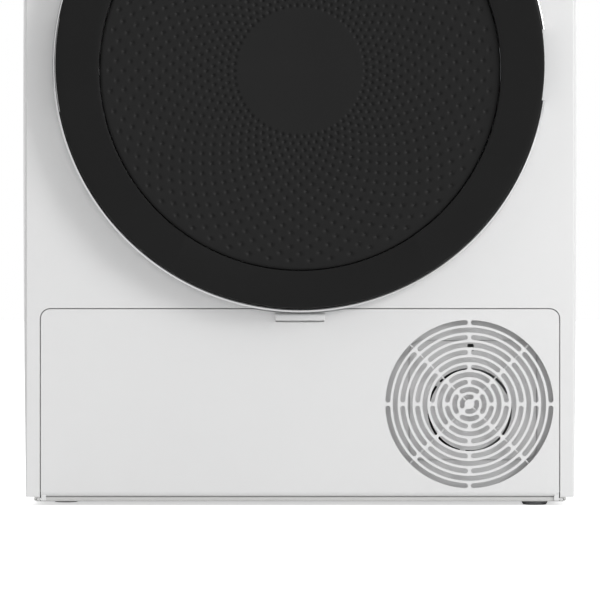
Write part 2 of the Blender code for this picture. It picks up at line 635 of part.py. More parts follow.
def belt_drive():
    inner, outer = BELT_GAP, BELT_GAP + BELT_THICK
    loops = [belt_outline((0, DRUM_Z, DRUM_RADIUS + grow), (MOTOR_X, MOTOR_Z, PULLEY_RADIUS + grow), 40)
             for grow in (outer, inner)]
    keep(outline_plate(loops, BELT_FRONT_Y, BELT_BACK_Y), "drive_belt", RUBBER)

    motor = rod(50, (MOTOR_X, 109, MOTOR_Z), (MOTOR_X, 200, MOTOR_Z), 32)
    join(motor, box((85, 106, 92), (233, 111, 208)))
    join(motor, box((140, 112, 10.3), (210, 190, 110)))
    cut(motor, rod(6.6, (MOTOR_X, 90, MOTOR_Z), (MOTOR_X, 220, MOTOR_Z), 16))
    cut(motor, rod(4.4, (IDLER_PIVOT[0], 100, IDLER_PIVOT[1]), (IDLER_PIVOT[0], 115, IDLER_PIVOT[1]), 12))
    keep(motor, "motor", ZINC)

    flange = PULLEY_RADIUS + 3
    pulley = turned([(0, 255), (6, 255), (6, 102), (flange, 101), (flange, 99), (PULLEY_RADIUS, 98.6),
                     (PULLEY_RADIUS, 89.4), (flange, 89), (flange, 87), (0, 87)], MOTOR_X, MOTOR_Z, 20,
                    closed=False)
    keep(pulley, "motor_shaft_pulley", STEEL)

    hub = turned([(6.4, 216), (16, 216), (58, 244), (58, 247), (16, 247), (6.4, 247)], MOTOR_X, MOTOR_Z, 24)
    for step in range(8):
        turn = math.tau * step / 8
        side = Vector((math.cos(turn), math.sin(turn)))
        over = Vector((-side.y, side.x)) * 1.2
        root, tip = side * 20, side * 57
        corners = [root - over, tip - over, tip + over, root + over]
        blade = outline_plate([[(MOTOR_X + c.x, MOTOR_Z + c.y) for c in corners]], 216, 246)
        join(hub, blade)
    keep(hub, "process_fan", DARK_PLASTIC)
    hang((MOTOR_X, 150, MOTOR_Z), "pivot_motor_rotor", pulley, hub)

    housing = turned([(30, 208), (66, 208), (66, REAR_Y - 2), (63, REAR_Y - 2), (63, 211), (30, 211)],
                     MOTOR_X, MOTOR_Z, 24)
    keep(housing, "fan_housing", GREY_PLASTIC)

    centre = idler_centre()
    idler = turned([(3.5, 88), (IDLER_RADIUS, 88), (IDLER_RADIUS, 99), (3.5, 99)], centre.x, centre.y, 20)
    keep(idler, "idler_pulley", DARK_PLASTIC)
    pivot = Vector(IDLER_PIVOT)
    along = (centre - pivot).normalized()
    heading = math.degrees(math.atan2(along.y, along.x))
    lever = outline_plate([arc(*centre, 8, heading - 90, heading + 90, 6)
                           + arc(*pivot, 9, heading + 90, heading + 270, 6)], 100.5, 104)
    join(lever, rod(4, (pivot.x, 103, pivot.y), (pivot.x, 109, pivot.y), 12))
    join(lever, rod(3, (centre.x, 86, centre.y), (centre.x, 101, centre.y), 12))
    keep(lever, "idler_arm", ZINC)
    arm_pivot = hang((pivot.x, 102, pivot.y), "pivot_idler_arm", lever)
    hang((centre.x, 94, centre.y), "pivot_idler_pulley", idler, parent=arm_pivot)


# ---------------------------------------------------------------- heat pump


def coil(name, front, back):
    """A finned heat exchanger block, grooved between its groups of fins."""
    block = box((-244, front, 10.3), (40, back, 200))
    for step in range(9):
        x = -220 + 30 * step
        cut(block, box((x, front - 5, 22), (x + 4, back + 5, 188)))
    keep(block, name, ALUMINIUM)


def heat_pump():
    coil("evaporator", -222, -145)
    coil("condenser", -125, -40)
    keep(rod(56, (140, -60, 10.3), (140, -60, 190), 32), "compressor", BLACK_PAINT)
    keep(tube([(140, -60, 190.4), (140, -60, 212), (132, -66, 220), (60, -80, 220), (56, -82, 216),
               (56, -82, 60), (52, -82, 56), (40.4, -82, 56)], 4), "refrigerant_pipe", COPPER)
    pump = box((-236, 190, 10.3), (-174, 250, 70))
    join(pump, rod(6, (-205, 220, 69), (-205, 220, 95), 12))
    keep(pump, "condensate_pump", DARK_PLASTIC)


def cooling_fan():
    """The small fan behind the grille that cools the compressor, and the shroud that holds its motor."""
    x, z = 187.1, 113.4
    shroud = outline_plate([rounded(x - 69, z - 64.5, x + 69, z + 64.5, 13)], -270, -226)
    join(shroud, outline_plate([rounded(86, 14, 278, 203, 6)], -271, -268.4))
    cut(shroud, outline_plate([rounded(x - 66, z - 61.5, x + 66, z + 61.5, 10)], -268.4, -210))
    for start in (20, 140, 260):
        window = sector(FAN_X, FAN_Z, 42.4, 45.8, start, start + 112, 8)
        cut(shroud, outline_plate([window], -280, -250))
    join(shroud, box((x - 67.5, -231, FAN_Z - 5), (x + 67.5, -227, FAN_Z + 5)),
         rod(14, (FAN_X, -231.5, FAN_Z), (FAN_X, -212, FAN_Z), 20))
    keep(shroud, "fan_shroud", WHITE_PLASTIC)

    rotor = rod(14, (FAN_X, -252, FAN_Z), (FAN_X, -232, FAN_Z), 20)
    for step in range(5):
        turn = math.tau * step / 5
        side = Vector((math.cos(turn), math.sin(turn)))
        over = Vector((-side.y, side.x))
        root, tip = side * 10, side * 42
        corners = [root - over * 4, tip - over * 13, tip + over * 13, root + over * 4]
        blade = outline_plate([[(FAN_X + c.x, FAN_Z + c.y) for c in corners]], -244, -240)
        join(rotor, blade)
    keep(rotor, "cooling_fan", DARK_PLASTIC)
    hang((FAN_X, -242, FAN_Z), "pivot_cooling_fan", rotor)


# ---------------------------------------------------------------- service flap


def service_flap():
    rim = 2.5
    flap = outline_plate([flap_outline(0)], FRONT_Y, FRONT_Y + 8)
    inside = box((-FLAP_HALF + rim, FRONT_Y + rim, FLAP_BOTTOM + rim),
                 (FLAP_HALF - rim, FRONT_Y + 20, DOOR_Z - FLAP_HOLLOW - rim + 0.6))
    cut(flap, inside)
    for ring in range(2, 11, 2):
        for quarter in range(4):
            middle = GRILLE_PITCH * ring
            start = 90 * quarter + 45 + math.degrees(4.3 / middle)
            end = 90 * quarter + 135 - math.degrees(4.3 / middle)
            slot = sector(GRILLE_X, GRILLE_Z, middle - 2.65, middle + 2.65, start, end, 4)
            cut(flap, outline_plate([slot], FRONT_Y - 5, FRONT_Y + 5))
    for sign in (-1, 1):
        near, far = sorted((sign * 274.0, sign * 279.4))
        join(flap, box((near, FRONT_Y, FLAP_AXIS_Z - 1.6), (far, FRONT_Y + 6, 12)))
        near, far = sorted((sign * 278.0, sign * 283.6))
        join(flap, rod(FLAP_PIN, (near, FLAP_AXIS_Y, FLAP_AXIS_Z), (far, FLAP_AXIS_Y, FLAP_AXIS_Z), 10))
    cut(flap, box((-26, FRONT_Y - 5, 198), (26, FRONT_Y + 5, 203.5)))
    keep(flap, "service_flap", WHITE_PLASTIC)

    latch = box((-26, FRONT_Y - 6, 199.8), (26, FRONT_Y - GAP, 207))
    join(latch, box((-25.5, FRONT_Y - 1, 200.2), (25.5, FRONT_Y + 6.5, 202.8)))
    join(latch, box((-28, FRONT_Y + 2.9, 198.2), (28, FRONT_Y + 6.5, 202.5)))
    keep(latch, "flap_latch", WHITE_PLASTIC)
    pivot = hang((0, FLAP_AXIS_Y, FLAP_AXIS_Z), "pivot_service_flap", flap)
    hang((0, FRONT_Y, 202), "pivot_flap_latch", latch, parent=pivot)


cabinet()
feet()
controls()
water_tank()
loading_mouth()
door()
drum()
rollers()
belt_drive()
heat_pump()
cooling_fan()
service_flap()
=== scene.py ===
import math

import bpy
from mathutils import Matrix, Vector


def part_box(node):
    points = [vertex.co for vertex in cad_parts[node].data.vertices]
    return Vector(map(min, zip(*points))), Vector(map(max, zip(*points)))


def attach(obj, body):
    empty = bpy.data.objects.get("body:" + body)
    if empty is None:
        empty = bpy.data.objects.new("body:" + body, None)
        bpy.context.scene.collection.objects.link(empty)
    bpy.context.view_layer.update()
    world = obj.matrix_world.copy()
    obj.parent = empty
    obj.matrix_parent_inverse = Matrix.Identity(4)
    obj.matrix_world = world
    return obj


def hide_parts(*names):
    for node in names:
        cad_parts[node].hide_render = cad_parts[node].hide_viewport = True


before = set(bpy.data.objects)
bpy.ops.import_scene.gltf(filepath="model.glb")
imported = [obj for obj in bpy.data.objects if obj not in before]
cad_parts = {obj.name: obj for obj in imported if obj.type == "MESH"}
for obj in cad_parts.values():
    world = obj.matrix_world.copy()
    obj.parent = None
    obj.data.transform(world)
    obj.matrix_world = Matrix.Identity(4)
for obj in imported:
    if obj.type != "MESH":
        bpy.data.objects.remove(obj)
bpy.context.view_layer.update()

# A front-loading heat-pump clothes dryer, dressed in the order that it goes together: the studio it
# stands in, the base and its feet, the sheet-metal case, the service flap, the door, the loading mouth
# and drum, the belt drive and heat pump, the water tank and the controls, and the back.
# Metres, +Z up, the front faces -Y.


# ---------------------------------------------------------------- studio
# A white floor, a bright even surround and one big soft lamp high on the right, as for a catalogue
# picture. The camera is level, a long way back, and its middle is at the height of the drum's lip.

FRONT_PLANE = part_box("front_panel")[0].y
VIEW_WIDTH = 0.6468  # what the frame takes in at the front panel
VIEW_DISTANCE = 3.4
VIEW_HEIGHT = 0.2218
SENSOR = 36.0

camera = bpy.data.objects.new("camera", bpy.data.cameras.new("camera"))
bpy.context.scene.collection.objects.link(camera)
camera.location = (0.0, FRONT_PLANE - VIEW_DISTANCE, VIEW_HEIGHT)
camera.rotation_euler = (math.pi / 2, 0.0, 0.0)
camera.data.sensor_width = SENSOR
camera.data.lens = SENSOR * VIEW_DISTANCE / VIEW_WIDTH
bpy.context.scene.camera = camera
bpy.context.scene.view_settings.view_transform = "Standard"


def soft_lamp(name, place, target, size, power):
    """A square soft lamp that faces a point."""
    lamp = bpy.data.objects.new(name, bpy.data.lights.new(name, "AREA"))
    lamp.data.size = size
    lamp.data.energy = power
    lamp.location = place
    lamp.rotation_euler = (Vector(target) - Vector(place)).to_track_quat("-Z", "Y").to_euler()
    bpy.context.scene.collection.objects.link(lamp)


soft_lamp("key_lamp", (2.4, -2.3, 1.25), (0.0, -0.28, 0.35), 1.3, 43.0)
soft_lamp("rear_lamp", (-1.8, 2.6, 1.8), (0.0, 0.28, 0.4), 1.4, 40.0)


class Wire:
    """An output of a shader node. Sums on wires add the Math nodes that work them out."""

    def __init__(self, tree, socket):
        self.tree = tree
        self.socket = socket

    def node(self, kind, settings=None, inputs=None, output=0):
        """Adds any node: its settings first, then the values or wires of its sockets."""
        made = self.tree.nodes.new(kind)
        for name, value in (settings or {}).items():
            if name == "stops":
                for stop, (place, colour) in zip(made.color_ramp.elements, value):
                    stop.position = place
                    stop.color = (*colour, 1.0)
            else:
                setattr(made, name, value)
        for name, value in (inputs or {}).items():
            if isinstance(value, Wire):
                self.tree.links.new(value.socket, made.inputs[name])
            else:
                made.inputs[name].default_value = value
        return Wire(self.tree, made.outputs[output])

    def maths(self, operation, first, second=0.0):
        return self.node("ShaderNodeMath", {"operation": operation}, {0: first, 1: second})

    def __add__(self, other):
        return self.maths("ADD", self, other)

    def __sub__(self, other):
        return self.maths("SUBTRACT", self, other)

    def __rsub__(self, other):
        return self.maths("SUBTRACT", other, self)

    def __mul__(self, other):
        return self.maths("MULTIPLY", self, other)

    def __pow__(self, other):
        return self.maths("POWER", self, other)

    def __gt__(self, other):
        return self.maths("GREATER_THAN", self, other)

    __radd__ = __add__
    __rmul__ = __mul__


class Finish:
    """A material whose Principled shader is fed by noise.

    Its colour runs from dark to light by spots, a (scale, detail). gloss is the (scale, detail, range,
    least) of its roughness, and relief the (scale, detail, depth, strength) of its surface."""

    def __init__(self, name, dark=None, light=None, spots=None, gloss=None, relief=None, **constants):
        self.material = bpy.data.materials.new(name)
        self.material.use_nodes = True
        self.tree = self.material.node_tree
        self.shader = self.tree.nodes["Principled BSDF"]
        self.place = Wire(self.tree, self.tree.nodes.new("ShaderNodeTexCoord").outputs["Object"])
        self.set(**constants)
        if spots:
            self.set(base_color=(*light, 1.0))
            self.set(base_color=self.shade(dark, light, self.noise(*spots)))
        if gloss:
            scale, detail, spread, least = gloss
            self.set(roughness=self.noise(scale, detail) * spread + least)
        if relief:
            scale, detail, depth, strength = relief
            self.grain(self.noise(scale, detail), depth, strength)

    def set(self, **values):
        """Sets the shader's sockets, named in small letters, to values or wires."""
        for name, value in values.items():
            socket = self.shader.inputs[name.replace("_", " ").title().replace("Ior", "IOR")]
            if isinstance(value, Wire):
                self.tree.links.new(value.socket, socket)
            else:
                socket.default_value = value
        return self

    def stretched(self, x=1.0, y=1.0, z=1.0):
        """The place on the object, stretched along its axes."""
        return self.place.node("ShaderNodeMapping", None, {"Vector": self.place, "Scale": (x, y, z)})

    def noise(self, scale, detail=2.0, place=None):
        """Soft random spots between 0 and 1."""
        return self.place.node("ShaderNodeTexNoise", None,
                               {"Vector": place or self.place, "Scale": scale, "Detail": detail})

    def shade(self, dark, light, amount):
        """A colour between two, by a wire."""
        return self.place.node("ShaderNodeMix", {"data_type": "RGBA"},
                               {0: amount, 6: (*dark, 1.0), 7: (*light, 1.0)}, output=2)

    def grain(self, height, depth, strength=1.0):
        """Turns a height wire into surface relief, depth metres from its low to its high."""
        bump = self.place.node("ShaderNodeBump", None,
                               {"Height": height, "Distance": depth, "Strength": strength})
        return self.set(normal=bump)


world = bpy.data.worlds.new("surround")
bpy.context.scene.world = world
world.use_nodes = True
SIDE_LIGHT, LEFT_LIGHT, RIGHT_LIGHT = 0.24, 0.67, 0.79
sky = world.node_tree.nodes["Background"]
ray = world.node_tree.nodes.new("ShaderNodeLightPath")
seen = Wire(world.node_tree, ray.outputs["Is Camera Ray"])
way = Wire(world.node_tree, world.node_tree.nodes.new("ShaderNodeTexCoord").outputs["Generated"])
sideways = way.node("ShaderNodeSeparateXYZ", None, {0: way})


def ramp_of(wire, low, high, out_low, out_high):
    """A smooth step between two levels."""
    return wire.node("ShaderNodeMapRange", {"interpolation_type": "SMOOTHSTEP"},
                     {"Value": wire, "From Min": low, "From Max": high, "To Min": out_low,
                      "To Max": out_high})


lit = ramp_of(sideways, -0.5, 0.5, LEFT_LIGHT, RIGHT_LIGHT)
far_side = ramp_of(sideways.maths("ABSOLUTE", sideways), 0.72, 0.95, 0.0, 1.0)
lit = lit * (1 - far_side) + far_side * SIDE_LIGHT
bright = seen + (1 - seen) * lit
world.node_tree.links.new(bright.socket, sky.inputs["Strength"])
sky.inputs["Color"].default_value = (1.0, 1.0, 1.0, 1.0)

floor_finish = Finish("floor_white", base_color=(0.9, 0.9, 0.9, 1.0), roughness=0.9)
glow = floor_finish.place.node("ShaderNodeLightPath") * 0.62
floor_finish.set(emission_color=floor_finish.shade((0.0, 0.0, 0.0), (1.0, 1.0, 1.0), glow),
                 emission_strength=1.0)
floor_finish.set(base_color=floor_finish.shade((0.90, 0.90, 0.90), (0.92, 0.92, 0.92),
                                               floor_finish.noise(3.0)))
bpy.ops.object.select_all(action="DESELECT")
bpy.ops.mesh.primitive_plane_add(size=60.0)
studio_floor = bpy.context.object
studio_floor.name = "studio_floor"
studio_floor.data.materials.append(floor_finish.material)


# ---------------------------------------------------------------- base tray
# One deep moulding of grey-white filled plastic that carries the heat pump. Its lip shows under the
# flap, and two small ears at its front corners take the flap's pins.

TRAY_LOW, TRAY_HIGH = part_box("base_tray")
LIP_TOP = 0.0091
EAR_INNER, EAR_OUTER = 0.2802, 0.2865


def block(low, high):
    """A cube between two corners, ready for shaping."""
    bpy.ops.object.select_all(action="DESELECT")
    middle = [(a + b) / 2 for a, b in zip(low, high)]
    bpy.ops.mesh.primitive_cube_add(size=1.0, location=middle)
    piece = bpy.context.object
    piece.scale = [b - a for a, b in zip(low, high)]
    bpy.ops.object.transform_apply(location=True, rotation=True, scale=True)
    return piece


def bar(radius, start, end, sides=48):
    """A cylinder between two points."""
    bpy.ops.object.select_all(action="DESELECT")
    start, end = Vector(start), Vector(end)
    along = end - start
    bpy.ops.mesh.primitive_cylinder_add(
        vertices=sides, radius=radius, depth=along.length, location=(start + end) / 2,
        rotation=along.to_track_quat("Z", "Y").to_euler())
    bpy.ops.object.transform_apply(location=True, rotation=True, scale=True)
    return bpy.context.object


def work_on(piece):
    """Makes a piece the only selected and active one."""
    bpy.ops.object.select_all(action="DESELECT")
    piece.select_set(True)
    bpy.context.view_layer.objects.active = piece


def apply_step(piece, kind, **settings):
    """Adds one modifier and applies it."""
    work_on(piece)
    step = piece.modifiers.new(kind.title(), kind)
    for name, value in settings.items():
        setattr(step, name, value)
    bpy.ops.object.modifier_apply(modifier=step.name)
    return piece


def soften(piece, width, segments=3, angle=35.0):
    """Rounds the edges that are sharper than an angle."""
    return apply_step(piece, "BEVEL", width=width, segments=segments, limit_method="ANGLE",
                      angle_limit=math.radians(angle), use_clamp_overlap=True, harden_normals=False)


def carve(piece, *cutters, operation="DIFFERENCE"):
    """Cuts shapes out of a piece, or unites them with it, and removes them."""
    for cutter in cutters:
        apply_step(piece, "BOOLEAN", operation=operation, object=cutter, solver="EXACT")
        bpy.data.objects.remove(cutter, do_unlink=True)
    return piece


def unite(piece, *others):
    return carve(piece, *others, operation="UNION")


def pick(piece, kind, test):
    """Goes into edit mode with only the faces, edges or points selected whose middle passes a test."""
    work_on(piece)
    bpy.ops.object.mode_set(mode="EDIT")
    bpy.ops.mesh.select_mode(type={"FACE": "FACE", "EDGE": "EDGE", "POINT": "VERT"}[kind])
    bpy.ops.mesh.select_all(action="DESELECT")
    bpy.ops.object.mode_set(mode="OBJECT")
    points = piece.data.vertices
    if kind == "FACE":
        for face in piece.data.polygons:
            face.select = test(face.center, face.normal)
    elif kind == "EDGE":
        for edge in piece.data.edges:
            ends = [points[i].co for i in edge.vertices]
            edge.select = test((ends[0] + ends[1]) / 2, (ends[1] - ends[0]).normalized())
    else:
        for point in points:
            point.select = test(point.co, None)
    bpy.ops.object.mode_set(mode="EDIT")


def done_editing():
    bpy.ops.object.mode_set(mode="OBJECT")


def round_edges(piece, test, radius, segments=6):
    """Rounds only the edges whose middle and direction pass a test."""
    pick(piece, "EDGE", test)
    bpy.ops.mesh.bevel(offset=radius, segments=segments, affect="EDGES")
    done_editing()
    return piece


def runs_deep(_, way):
    return abs(way.y) > 0.9


def runs_up(_, way):
    return abs(way.z) > 0.9


def rod(radius, x, z, front, back, sides=48):
    """A cylinder that runs from front to back."""
    return bar(radius, (x, front, z), (x, back, z), sides)


def middle_of(node):
    """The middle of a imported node's box."""
    low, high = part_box(node)
    return (low + high) / 2


def settle(piece, name, finish, body, slot, *stands_for, angle=32.0, flat=False):
    """Names a finished piece, smooths and colours it, and fixes it to the body that it moves with.

    flat keeps the shading of large flat faces even, up to their rounded edges."""
    work_on(piece)
    bpy.ops.object.shade_smooth_by_angle(angle=math.radians(angle))
    if flat:
        apply_step(piece, "WEIGHTED_NORMAL", keep_sharp=True, weight=80)
    piece.name = piece.data.name = name
    piece.data.materials.clear()
    piece.data.materials.append(finish.material)
    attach(piece, body)
    if stands_for:
        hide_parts(*stands_for)
    return piece


def dress(finish, *nodes):
    """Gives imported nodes, whose shape is already right, their finish."""
    for node in nodes:
        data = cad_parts[node].data
        data.materials.clear()
        data.materials.append(finish.material)


def joined(pieces):
    """Several like pieces as one object."""
    bpy.ops.object.select_all(action="DESELECT")
    for piece in pieces:
        piece.select_set(True)
    bpy.context.view_layer.objects.active = pieces[0]
    if len(pieces) > 1:
        bpy.ops.object.join()
    return bpy.context.object


tray_finish = Finish("tray_moulding", (0.60, 0.60, 0.59), (0.65, 0.65, 0.64), (60.0, 4.0),
                     (300.0, 2.0, 0.12, 0.44), (2600.0, 2.0, 6e-05, 1.0))

FOOT_PLACES = {}
for name in ("front_right", "front_left", "rear_right", "rear_left"):
    FOOT_PLACES[name] = middle_of("foot_" + name)[:2]

tray_front = TRAY_LOW.y + 0.012
FRONT_WALL_TOP = 0.0125
tray = block((TRAY_LOW.x, tray_front, TRAY_LOW.z), (TRAY_HIGH.x, TRAY_HIGH.y, TRAY_HIGH.z))
round_edges(tray, runs_up, 0.006)
pick(tray, "FACE", lambda middle, normal: normal.z > 0.9)
bpy.ops.mesh.inset(thickness=0.003)
bpy.ops.mesh.extrude_region_move(TRANSFORM_OT_translate={"value": (0.0, 0.0, -0.035)})
done_editing()
carve(tray, block((-0.285, tray_front - 0.005, FRONT_WALL_TOP), (0.285, tray_front + 0.004, 0.06)))
round_edges(tray, lambda middle, way: abs(way.z) < 0.5 and abs(middle.z - TRAY_LOW.z) < 0.0001, 0.0012, 3)
lip = block((-0.2795, TRAY_LOW.y + 0.0025, TRAY_LOW.z), (0.2795, tray_front + 0.001, LIP_TOP))
round_edges(lip, lambda middle, way: abs(way.x) > 0.9 and middle.y < tray_front and middle.z < 0.006, 0.0016,
            4)
unite(tray, lip)
for side in (-1, 1):
    near, far = sorted((side * EAR_INNER, side * EAR_OUTER))
    ear = block((near, TRAY_LOW.y, TRAY_LOW.z), (far, tray_front + 0.001, 0.0091))
    pick(ear, "POINT", lambda place, _: place.z < 0.006 and abs(place.x) > 0.284)
    bpy.ops.transform.translate(value=(-side * 0.003, 0.0, 0.0))
    done_editing()
    near, far = sorted((side * 0.2812, side * 0.2842))
    unite(tray, ear)
    carve(tray, block((near, TRAY_LOW.y - 0.002, 0.0058), (far, TRAY_LOW.y + 0.0055, 0.0084)))
for x, y in FOOT_PLACES.values():
    unite(tray, bar(0.010, (x, y, 0.008), (x, y, 0.034)))
    carve(tray, bar(0.0054, (x, y, -0.01), (x, y, 0.06), 24))
webs = [block((-0.27 + 0.09 * step, tray_front + 0.002, 0.0095), (-0.2685 + 0.09 * step, 0.27, 0.0102))
        for step in range(7)]
settle(tray, "base_moulding", tray_finish, "cabinet", "grey_plastic", "base_tray")
settle(joined(webs), "base_webs", tray_finish, "cabinet", "grey_plastic")


# ---------------------------------------------------------------- feet
# Four levelling feet: a hard rubber shoe, its rim bevelled inwards, moulded on a zinc-plated screw
# that turns in the tray's boss.

rubber_finish = Finish("foot_rubber", (0.190, 0.193, 0.198), (0.240, 0.243, 0.248), (180.0, 3.0),
                       (400.0, 2.0, 0.15, 0.5), (3000.0, 2.0, 8e-05, 1.0))

plated_finish = Finish("zinc_plate", (0.50, 0.51, 0.53), (0.66, 0.67, 0.68), (90.0, 3.0),
                       (240.0, 4.0, 0.2, 0.26), metallic=1.0)


def trace(points):
    """A line of edges drawn through points, each one extruded from the last."""
    bpy.ops.object.select_all(action="DESELECT")
    bpy.ops.mesh.primitive_plane_add(size=0.001, location=points[0])
    piece = bpy.context.object
    bpy.ops.object.transform_apply(location=True, rotation=True, scale=True)
    bpy.ops.object.mode_set(mode="EDIT")
    bpy.ops.mesh.select_mode(type="VERT")
    bpy.ops.mesh.merge(type="CENTER")
    for last, point in zip(points, points[1:]):
        step = [b - a for a, b in zip(last, point)]
        bpy.ops.mesh.extrude_region_move(TRANSFORM_OT_translate={"value": step})
    done_editing()
    return piece


def spun(profile, x, z, steps=96, along="Y"):
    """A turned piece: (radius, place along the axis) points spun about the axis through x, z.

    A profile that returns to its start makes a ring; one that ends on the axis makes a solid.
    """
    if along == "Y":
        points = [(x + radius, y, z) for radius, y in profile]
        centre, axis = (x, 0.0, z), (0.0, 1.0, 0.0)
    else:
        points = [(x + radius, z, height) for radius, height in profile]
        centre, axis = (x, z, 0.0), (0.0, 0.0, 1.0)
    piece = trace(points)
    bpy.ops.object.mode_set(mode="EDIT")
    bpy.ops.mesh.select_all(action="SELECT")
    bpy.ops.mesh.spin(steps=steps, angle=math.tau, center=centre, axis=axis)
    bpy.ops.mesh.select_all(action="SELECT")
    bpy.ops.mesh.remove_doubles(threshold=0.000005)
    bpy.ops.mesh.normals_make_consistent(inside=False)
    done_editing()
    return piece


def arc(x, z, radius, start, end, steps):
    """Points round part of a circle, as pairs; angles in degrees."""
    return [(x + radius * math.cos(math.radians(start + (end - start) * i / steps)),
             z + radius * math.sin(math.radians(start + (end - start) * i / steps)))
            for i in range(steps + 1)]


for name, (x, y) in FOOT_PLACES.items():
    shoe = spun([(0.0, 0.0), (0.0118, 0.0)] + arc(0.0122, 0.0006, 0.0006, -60, -10, 3)
                + [(0.0144, 0.0032)] + arc(0.0140, 0.0036, 0.0006, 0, 90, 4) + [(0.0, 0.0042)],
                x, y, 64, along="Z")
    settle(shoe, f"foot_shoe_{name}", rubber_finish, f"adjuster_{name}", "rubber", f"foot_{name}")
    threads = 14
    outline = [(0.0, 0.0043), (0.0046, 0.0043)]
    for turn in range(threads):
        level = 0.006 + turn * 0.0023
        outline += [(0.0048, level), (0.0042, level + 0.0011)]
    outline += [(0.0044, 0.0395), (0.0, 0.04)]
    screw = spun(outline, x, y, 32, along="Z")
    settle(screw, f"foot_screw_{name}", plated_finish, f"adjuster_{name}", "rubber")


# ---------------------------------------------------------------- case
# White-enamelled steel: a front panel pierced for the door and the flap, and two side panels with a
# slight outward bow that shows as a thin sliver beside the front.

DOOR_X, DOOR_Z = 0.0, (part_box("door_seal")[0].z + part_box("door_seal")[1].z) / 2
MOUTH_RADIUS = 0.192
PANEL_LOW, PANEL_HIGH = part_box("front_panel")
FLAP_LOW, FLAP_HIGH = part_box("service_flap")
FLAP_HALF = 0.2795
FLAP_BOTTOM = 0.0094
FLAP_CORNER = 0.0105
FLAP_SEAM = 0.0010
FLAP_HOLLOW = 0.2664  # the middle of its top edge follows the door's rim
SHEET_THICK = 0.0012

enamel_finish = Finish("white_enamel", (0.795, 0.796, 0.798), (0.815, 0.815, 0.814), (9.0, 3.0),
                       (160.0, 2.0, 0.06, 0.27), (420.0, 1.0, 4e-05, 0.6), coat_weight=0.2,
                       coat_roughness=0.12)


def flap_block(spread, front, back):
    """The service flap's outline as a block: round top corners, its middle hollowed round the door."""
    low = (-FLAP_HALF - spread, front, FLAP_BOTTOM - spread)
    high = (FLAP_HALF + spread, back, FLAP_HIGH.z + spread)
    piece = block(low, high)
    round_edges(piece, lambda middle, way: abs(way.y) > 0.9 and middle.z > 0.1, FLAP_CORNER + spread, 10)
    return carve(piece, rod(FLAP_HOLLOW - spread, DOOR_X, DOOR_Z, front - 0.01, back + 0.01, 256))


front = block(PANEL_LOW, PANEL_HIGH)
opening = flap_block(FLAP_SEAM, PANEL_LOW.y - 0.02, PANEL_HIGH.y + 0.02)
pick(opening, "FACE", lambda middle, normal: normal.z < -0.9 and middle.z < 0.1)
bpy.ops.transform.translate(value=(0.0, 0.0, -0.03))
done_editing()
carve(front, opening, rod(MOUTH_RADIUS, DOOR_X, DOOR_Z, -0.3, -0.26, 160),
      block((-0.219, -0.3, DOOR_Z - 0.011), (-0.202, -0.26, DOOR_Z + 0.011)))
round_edges(front, lambda middle, way: abs(way.z) > 0.9 and abs(middle.x) > 0.29 and middle.y < PANEL_LOW.y
            + 0.0003,
            0.0012, 4)
soften(front, 0.0004, 2, 50.0)
settle(front, "front_panel_enamelled", enamel_finish, "cabinet", "white_paint", "front_panel", flat=True)
STOP_FRONT, STOP_BACK = FLAP_HIGH.y + 0.0004, FLAP_HIGH.y + 0.0014
stop = carve(flap_block(0.004, PANEL_HIGH.y + 0.0002, STOP_BACK),
             flap_block(0.0028, PANEL_HIGH.y - 0.01, STOP_FRONT),
             flap_block(-0.003, -0.30, -0.25), block((-0.3, -0.3, -0.01), (0.3, -0.25, 0.0145)))
settle(stop, "flap_stop_flange", enamel_finish, "cabinet", "white_paint")

SIDE_LOW, SIDE_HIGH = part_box("right_side_panel")
SIDE_FOOT_X = 0.2956
SIDE_BOW = SIDE_HIGH.x - SIDE_FOOT_X
RETURN_X = 0.2936  # how far in the side panels' front edges are folded


def bowed(height):
    """Half width over the side panels at a height."""
    middle = (SIDE_LOW.z + SIDE_HIGH.z) / 2
    reach = (SIDE_HIGH.z - SIDE_LOW.z) / 2
    return SIDE_FOOT_X + SIDE_BOW * (1 - ((height - middle) / reach) ** 2)


for side, name in ((-1, "left"), (1, "right")):
    rows = 40
    heights = [SIDE_LOW.z + (SIDE_HIGH.z - SIDE_LOW.z) * i / rows for i in range(rows + 1)]
    edge = [(side * bowed(z), SIDE_LOW.y, z) for z in heights]
    panel = trace(edge)
    bpy.ops.object.mode_set(mode="EDIT")
    bpy.ops.mesh.select_all(action="SELECT")
    bpy.ops.mesh.extrude_region_move(TRANSFORM_OT_translate={"value": (0.0, SIDE_HIGH.y - SIDE_LOW.y, 0.0)})
    done_editing()
    pick(panel, "EDGE", lambda middle, way: middle.y < SIDE_LOW.y + 0.0001 and abs(way.y) < 0.1)
    bpy.ops.mesh.extrude_region_move(TRANSFORM_OT_translate={"value": (-side * 0.004, 0.0, 0.0)})
    done_editing()
    for point in panel.data.vertices:
        if abs(point.co.x) < bowed(point.co.z) - 0.001:
            point.co.x = side * RETURN_X
    panel.data.update()
    pick(panel, "FACE", lambda middle, normal: True)
    bpy.ops.mesh.normals_make_consistent(inside=False)
    done_editing()
    outward = sum(face.normal.x * side for face in panel.data.polygons) > 0
    apply_step(panel, "SOLIDIFY", thickness=SHEET_THICK, offset=-1.0 if outward else 1.0,
               use_even_offset=True)
    soften(panel, 0.0004, 2, 50.0)
    settle(panel, f"side_panel_{name}_enamelled", enamel_finish, "cabinet", "white_paint",
           f"{name}_side_panel")


# ---------------------------------------------------------------- service flap
# One white moulding that swings down on two pins. Its lower edge is rolled under, and its grille is
# eleven rings of slots, broken in turn on the square and on the diagonals. Thin bars behind the face
# cross the rings that the diagonals leave open.

